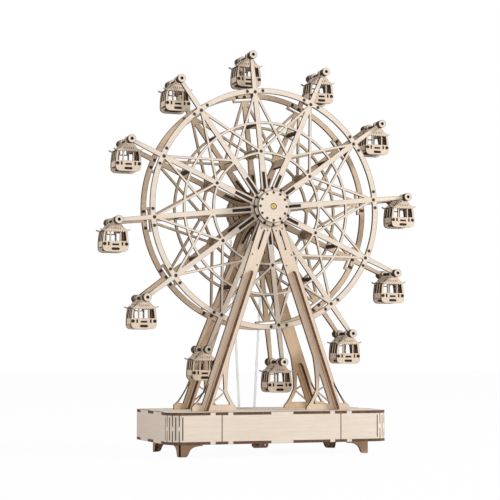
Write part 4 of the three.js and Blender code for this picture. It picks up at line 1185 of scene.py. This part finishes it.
def gable_lace():
    """The thin fascia on the gable: small slots along it and drops under the eave."""
    edge = [(2.2, -3.3)] + curve((2.2, -3.3), (4.6, -3.9), (5.4, -5.2), 4)
    edge += curve(edge[-1], (6.6, -6.7), (8.7, -7.2), 4) + [(8.7, -7.9)]
    drops = [disc(-7.65 + 1.7 * k, -7.95, 0.72, 12) for k in range(10)]
    slots = [box(x - 0.2, -6.6, x + 0.2, -5.2) for x in (-3.6, -2.16, -0.72, 0.72, 2.16, 3.6)]
    return [edge + [(-x, z) for x, z in edge[::-1]]] + drops, slots


def all_burnt(obj):
    """A tab or peg end: burnt over its whole face."""
    obj.data.attributes["cut"].data.foreach_set("value", [1.0] * len(obj.data.polygons))
    return obj


def on_roof(side):
    def place(u, v, w):
        return (side * (2.2 + v * math.cos(ROOF_PITCH) + w * math.sin(ROOF_PITCH)), u,
                -1.6 - v * math.sin(ROOF_PITCH) + w * math.cos(ROOF_PITCH))
    return place


def on_flank(side):
    """The side walls bulge down to the fold and stand upright below it."""
    def place(u, v, w):
        bulge = 8.5 + 1.15 * min(1.0, (-8 - v) / 8)
        return side * (bulge - w), u, v
    return place


def cabin_body():
    lace, lace_slots = gable_lace()
    tabs = tab_row(CABIN_AIR) + [slot_hole(0, FLOOR_TAB_Z, FLOOR_TAB - 0.1, FLOOR_TAB_HIGH - 0.1)]
    parts = []
    for k, (low, lace_low, opening) in enumerate((
            (-CABIN_HALF, -CABIN_HALF - LACE - TOUCH, []),
            (CABIN_HALF - THIN, CABIN_HALF + TOUCH, [TRANSOM]))):
        parts.append(sheet("end" + str(k), [cabin_end_outline()], cabin_end_holes(opening), low,
                           low + THIN, scorch=0.3))
        parts.append(all_burnt(sheet("tabs" + str(k), tabs, [], low + 0.2, low + THIN - 0.1,
                                     scorch=PEG_SCORCH)))
        parts.append(sheet("lace" + str(k), lace, lace_slots + opening, lace_low, lace_low + LACE,
                           scorch=0.12))
    front, back = -CABIN_HALF + THIN + TOUCH, CABIN_HALF - THIN - TOUCH
    parts.append(sheet("floor", [box(-6.4, -22.2, 6.4, -20.7)], [], front, back, scorch=0.2))
    windows = [box(y - WALL_WINDOW_HALF, WALL_WINDOW_SILL, y + WALL_WINDOW_HALF, WALL_WINDOW_TOP)
               for y in WALL_WINDOWS]
    fold = [((front - PAST, WALL_FOLD), (back + PAST, WALL_FOLD))]
    for k, side in enumerate((-1, 1)):
        parts.append(sheet("roof" + str(k), [box(front, 0.2, back, ROOF_LENGTH)], ROOF_PINS,
                           ROOF_LOW, ROOF_HIGH, on_roof(side), 0.5))
        parts.append(sheet("flank" + str(k), [box(front, WALL_LOW, back, WALL_TOP)], windows,
                           0, FLANK, on_flank(side), 0.6, fold))
    return joined("cabin", parts)


def axle_set():
    """A dowel with a two-leaf cap outside each frame and thin eye discs between them."""
    dowel, bore, cap, leaf, eye = 1.1, 1.12, 3.15, 2.1, 1.2
    front, back = FRONT_FRAME_Y - TOUCH, BACK_FRAME_Y + PLY + TOUCH
    parts = [lathe("dowel", rod(dowel, front - 3.1, back + 3.1), (0, 0, 0), 20, burn=1.0)]
    hole = disc(0, 0, bore, 20)
    for k, low in enumerate((front - 4.3, front - 2.13, back + 0.02, back + 2.15)):
        parts.append(sheet("cap" + str(k), [disc(0, 0, cap, 32)], [hole], low, low + leaf))
    for k, low in enumerate((-13.7, 6.3)):
        parts.append(sheet("eye" + str(k), [disc(0, 0, 2.2, 24)], [hole], low, low + eye,
                           scorch=0.2))
    return joined("axle", parts)


def at_each_axle(shape, name, y, material, body, node):
    """A copy of the shape at each cabin axle; ## in a name stands for the cabin's number."""
    for k in range(ARMS):
        x, z = polar(REACH, FIRST_ARM + STEP * k)
        number = "%02d" % (k + 1)
        piece = moved(copy_of(shape, name.replace("##", number)), x, y, HUB_Z + z)
        finish_piece(piece, material, body.replace("##", number), "birch_ply",
                     node.replace("##", number))
    bpy.data.objects.remove(shape)


at_each_axle(cabin_body(), "gondola_##", MID_Y, cabin_ply, "cabin_##_body", "cabin_##")
at_each_axle(axle_set(), "gondola_axle_##", 0, level_ply, "wheel", "cabin_axle_##")


# Movement and key
TINES, TINE_SHARE, COMB_HALF = 18, 0.55, 0.5
DRUM_FRONT, DRUM_BACK, DRUM, ARBOR = 14.9, 24.9, 6, 1.2


def comb_piece():
    """Eighteen steel tines cut from one plate."""
    tip, root, heel, screws = -6.45, -13.3, -17.9, ((-16, 17.4), (-16, 22.4))
    pitch = (DRUM_BACK - DRUM_FRONT) / TINES
    low, high, scorch = DRIVE_Z - COMB_HALF, DRIVE_Z + COMB_HALF, 0.05
    tine = box(root - 0.3, DRUM_FRONT, tip, DRUM_FRONT + pitch * TINE_SHARE)
    tines = repeat(sheet("comb_tines", [tine], [], low, high, lying, scorch), TINES, comb_steel,
                   shift=(0, pitch, 0), weld=0.0)
    plate = sheet("comb_plate", [box(heel, DRUM_FRONT, root, DRUM_BACK)],
                  [disc(x, y, 0.8, 16) for x, y in screws], low, high, lying, scorch)
    return joined("music_comb", [tines, plate])


def cylinder_piece():
    """The brass cylinder with rows of pins, its pinion disc and its arbor."""
    pinion, pinion_front, pinion_back, soft = 3.3, 10.0, 13.3, 0.2
    section = [(0, pinion_front), *soft_rim(pinion, pinion_front, pinion_back, soft),
               (ARBOR, pinion_back), (ARBOR, DRUM_FRONT),
               *soft_rim(DRUM, DRUM_FRONT, DRUM_BACK, soft), (ARBOR, DRUM_BACK),
               (ARBOR, BELT_Y + 2.3), (0, BELT_Y + 2.3)]
    parts = [lathe("music_cylinder", section, (0, 0, DRIVE_Z), 64)]
    tracks, first_track, track_pitch, track_turn = 9, 0.8, 1.05, 137.5
    pins_each, pin_reach = 5, 6.1
    for track in range(tracks):
        nx, nz = polar(1, track * track_turn)
        place = Vector((nx * pin_reach, DRUM_FRONT + first_track + track * track_pitch,
                        DRIVE_Z + nz * pin_reach))
        pin = bmesh.new()
        pin.verts.layers.float.new("burn")
        bmesh.ops.create_cone(pin, cap_ends=True, segments=6, radius1=0.14, radius2=0.12,
                              depth=0.5)
        tilt = Vector((0, 0, 1)).rotation_difference(Vector((nx, 0, nz))).to_matrix().to_4x4()
        bmesh.ops.transform(pin, matrix=Matrix.Translation(place) @ tilt, verts=pin.verts)
        bmesh.ops.scale(pin, vec=(MM, MM, MM), verts=pin.verts)
        parts.append(repeat(to_object("pins%d" % track, pin), pins_each, polished_brass,
                            turn=(0, -360 / pins_each, 0), centre=(0, 0, DRIVE_Z), weld=0.0))
    return joined("music_cylinder", parts)


def winding_key():
    """A folded wing key: a flat wing with rounded ends, a knob and a stem."""
    end, low, right, left, half = 2.3, 3.4, 7.1, -6.4, 0.6
    mid = low + end
    wing = arc(right - end, mid, end, -90, 90, 12) + arc(left + end, mid, end, 90, 270, 12)
    plate = sheet("wing", [wing], [disc(4.6, mid, 0.6, 16)], -half, half, scorch=0.15)
    knob = lathe("knob", [(0, -1.5), *soft_rim(1.6, -1.5, 1.5, 0.4), (0, 1.5)], (-4.8, 0, mid), 24)
    stem = lathe("stem", [(0, 4.6), (2.6, 4.6), (2.6, 7.4), (1.7, 7.9), (1.7, 17.2), (0, 17.2)],
                 (0, 0, 0), 24, axis="Z")
    return joined("wing_key", [plate, knob, stem])


finish_piece(comb_piece(), comb_steel, "base", "steel", "comb")
finish_piece(cylinder_piece(), polished_brass, "cylinder", "brass", "pinned_cylinder")
finish_piece(winding_key(), key_steel, "key", "dark_steel", "winding_key")
for node, material in (("movement_bedplate", comb_steel), ("spring_barrel", polished_brass),
                       ("governor_housing", polished_brass)):
    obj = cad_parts[node]
    obj.data.materials.clear()
    obj.data.materials.append(material)


# Stage: lamp and camera places in metres
WHITE = (1, 1, 1, 1)
FLOOR_HALF, FLOOR_GREY, FLOOR_WHITE_SHARE = 6.0, (0.86, 0.86, 0.86, 1), 0.96
AMBIENT = 0.58
AIM = (0, 0, 0.15)
LAMPS = (("key_light_right", (1.9, -1.15, 1.15), 0.5, 42),
         ("fill_light_left", (-2.0, -0.8, 0.8), 1.2, 6))
CAMERA_PLACE, CAMERA_UP, CAMERA_TURN = (-0.4003, -1.0908, 0.0740), 4.13, -19.78
CAMERA_LENS, CAMERA_SENSOR, CAMERA_FAR = 106.69, 36, 50


def plainly_seen(tree):
    """1 for rays from the camera, off polish and through glass; 0 for rays that carry light."""
    path = tree.nodes.new("ShaderNodeLightPath")
    seen = path.outputs["Is Camera Ray"]
    for ray in ("Is Glossy Ray", "Is Transmission Ray"):
        either = tree.nodes.new("ShaderNodeMath")
        either.operation = "MAXIMUM"
        tree.links.new(seen, either.inputs[0])
        tree.links.new(path.outputs[ray], either.inputs[1])
        seen = either.outputs[0]
    return seen


def linked(obj):
    bpy.context.scene.collection.objects.link(obj)
    return obj


def plain_stage():
    """A pale floor that the camera sees as white, but which keeps the object's shadow."""
    floor = bpy.data.meshes.new("floor")
    corners = box(-FLOOR_HALF, -FLOOR_HALF, FLOOR_HALF, FLOOR_HALF)
    floor.from_pydata([(x, y, 0) for x, y in corners], [], [(0, 1, 2, 3)])
    s = Shader("pale_floor")
    s.give("Base Color", FLOOR_GREY)
    s.give("Roughness", 0.9)
    s.give("Specular IOR Level", 0.1)
    white = s.node("ShaderNodeEmission")
    white.inputs["Color"].default_value = WHITE
    white.inputs["Strength"].default_value = 1.0
    blend = s.node("ShaderNodeMixShader")
    seen = plainly_seen(s.material.node_tree)
    s.link(s.math("MULTIPLY", seen, FLOOR_WHITE_SHARE), blend.inputs[0])
    s.link(s.surface.outputs[0], blend.inputs[1])
    s.link(white.outputs[0], blend.inputs[2])
    s.link(blend.outputs[0], s.nodes["Material Output"].inputs["Surface"])
    floor.materials.append(s.material)
    linked(bpy.data.objects.new("floor", floor))


def white_surroundings():
    world = bpy.data.worlds.new("white studio")
    bpy.context.scene.world = world
    world.use_nodes = True
    tree = world.node_tree
    strength = tree.nodes.new("ShaderNodeMapRange")
    tree.links.new(plainly_seen(tree), strength.inputs[0])
    strength.inputs["To Min"].default_value = AMBIENT
    strength.inputs["To Max"].default_value = 1.0
    background = tree.nodes["Background"]
    background.inputs["Color"].default_value = WHITE
    tree.links.new(strength.outputs[0], background.inputs["Strength"])


def softbox(name, place, size, power):
    light = bpy.data.lights.new(name, "AREA")
    light.shape, light.size, light.energy = "SQUARE", size, power
    obj = linked(bpy.data.objects.new(name, light))
    obj.location = place
    obj.rotation_euler = (Vector(AIM) - Vector(place)).to_track_quat("-Z", "Y").to_euler()


plain_stage()
white_surroundings()
for lamp in LAMPS:
    softbox(*lamp)

camera = linked(bpy.data.objects.new("camera", bpy.data.cameras.new("camera")))
camera.location = CAMERA_PLACE
camera.rotation_euler = (math.radians(90 + CAMERA_UP), 0, math.radians(CAMERA_TURN))
camera.data.lens, camera.data.clip_end = CAMERA_LENS, CAMERA_FAR
camera.data.sensor_width, camera.data.sensor_fit = CAMERA_SENSOR, "HORIZONTAL"
bpy.context.scene.camera = camera
bpy.context.scene.view_settings.view_transform = "Standard"
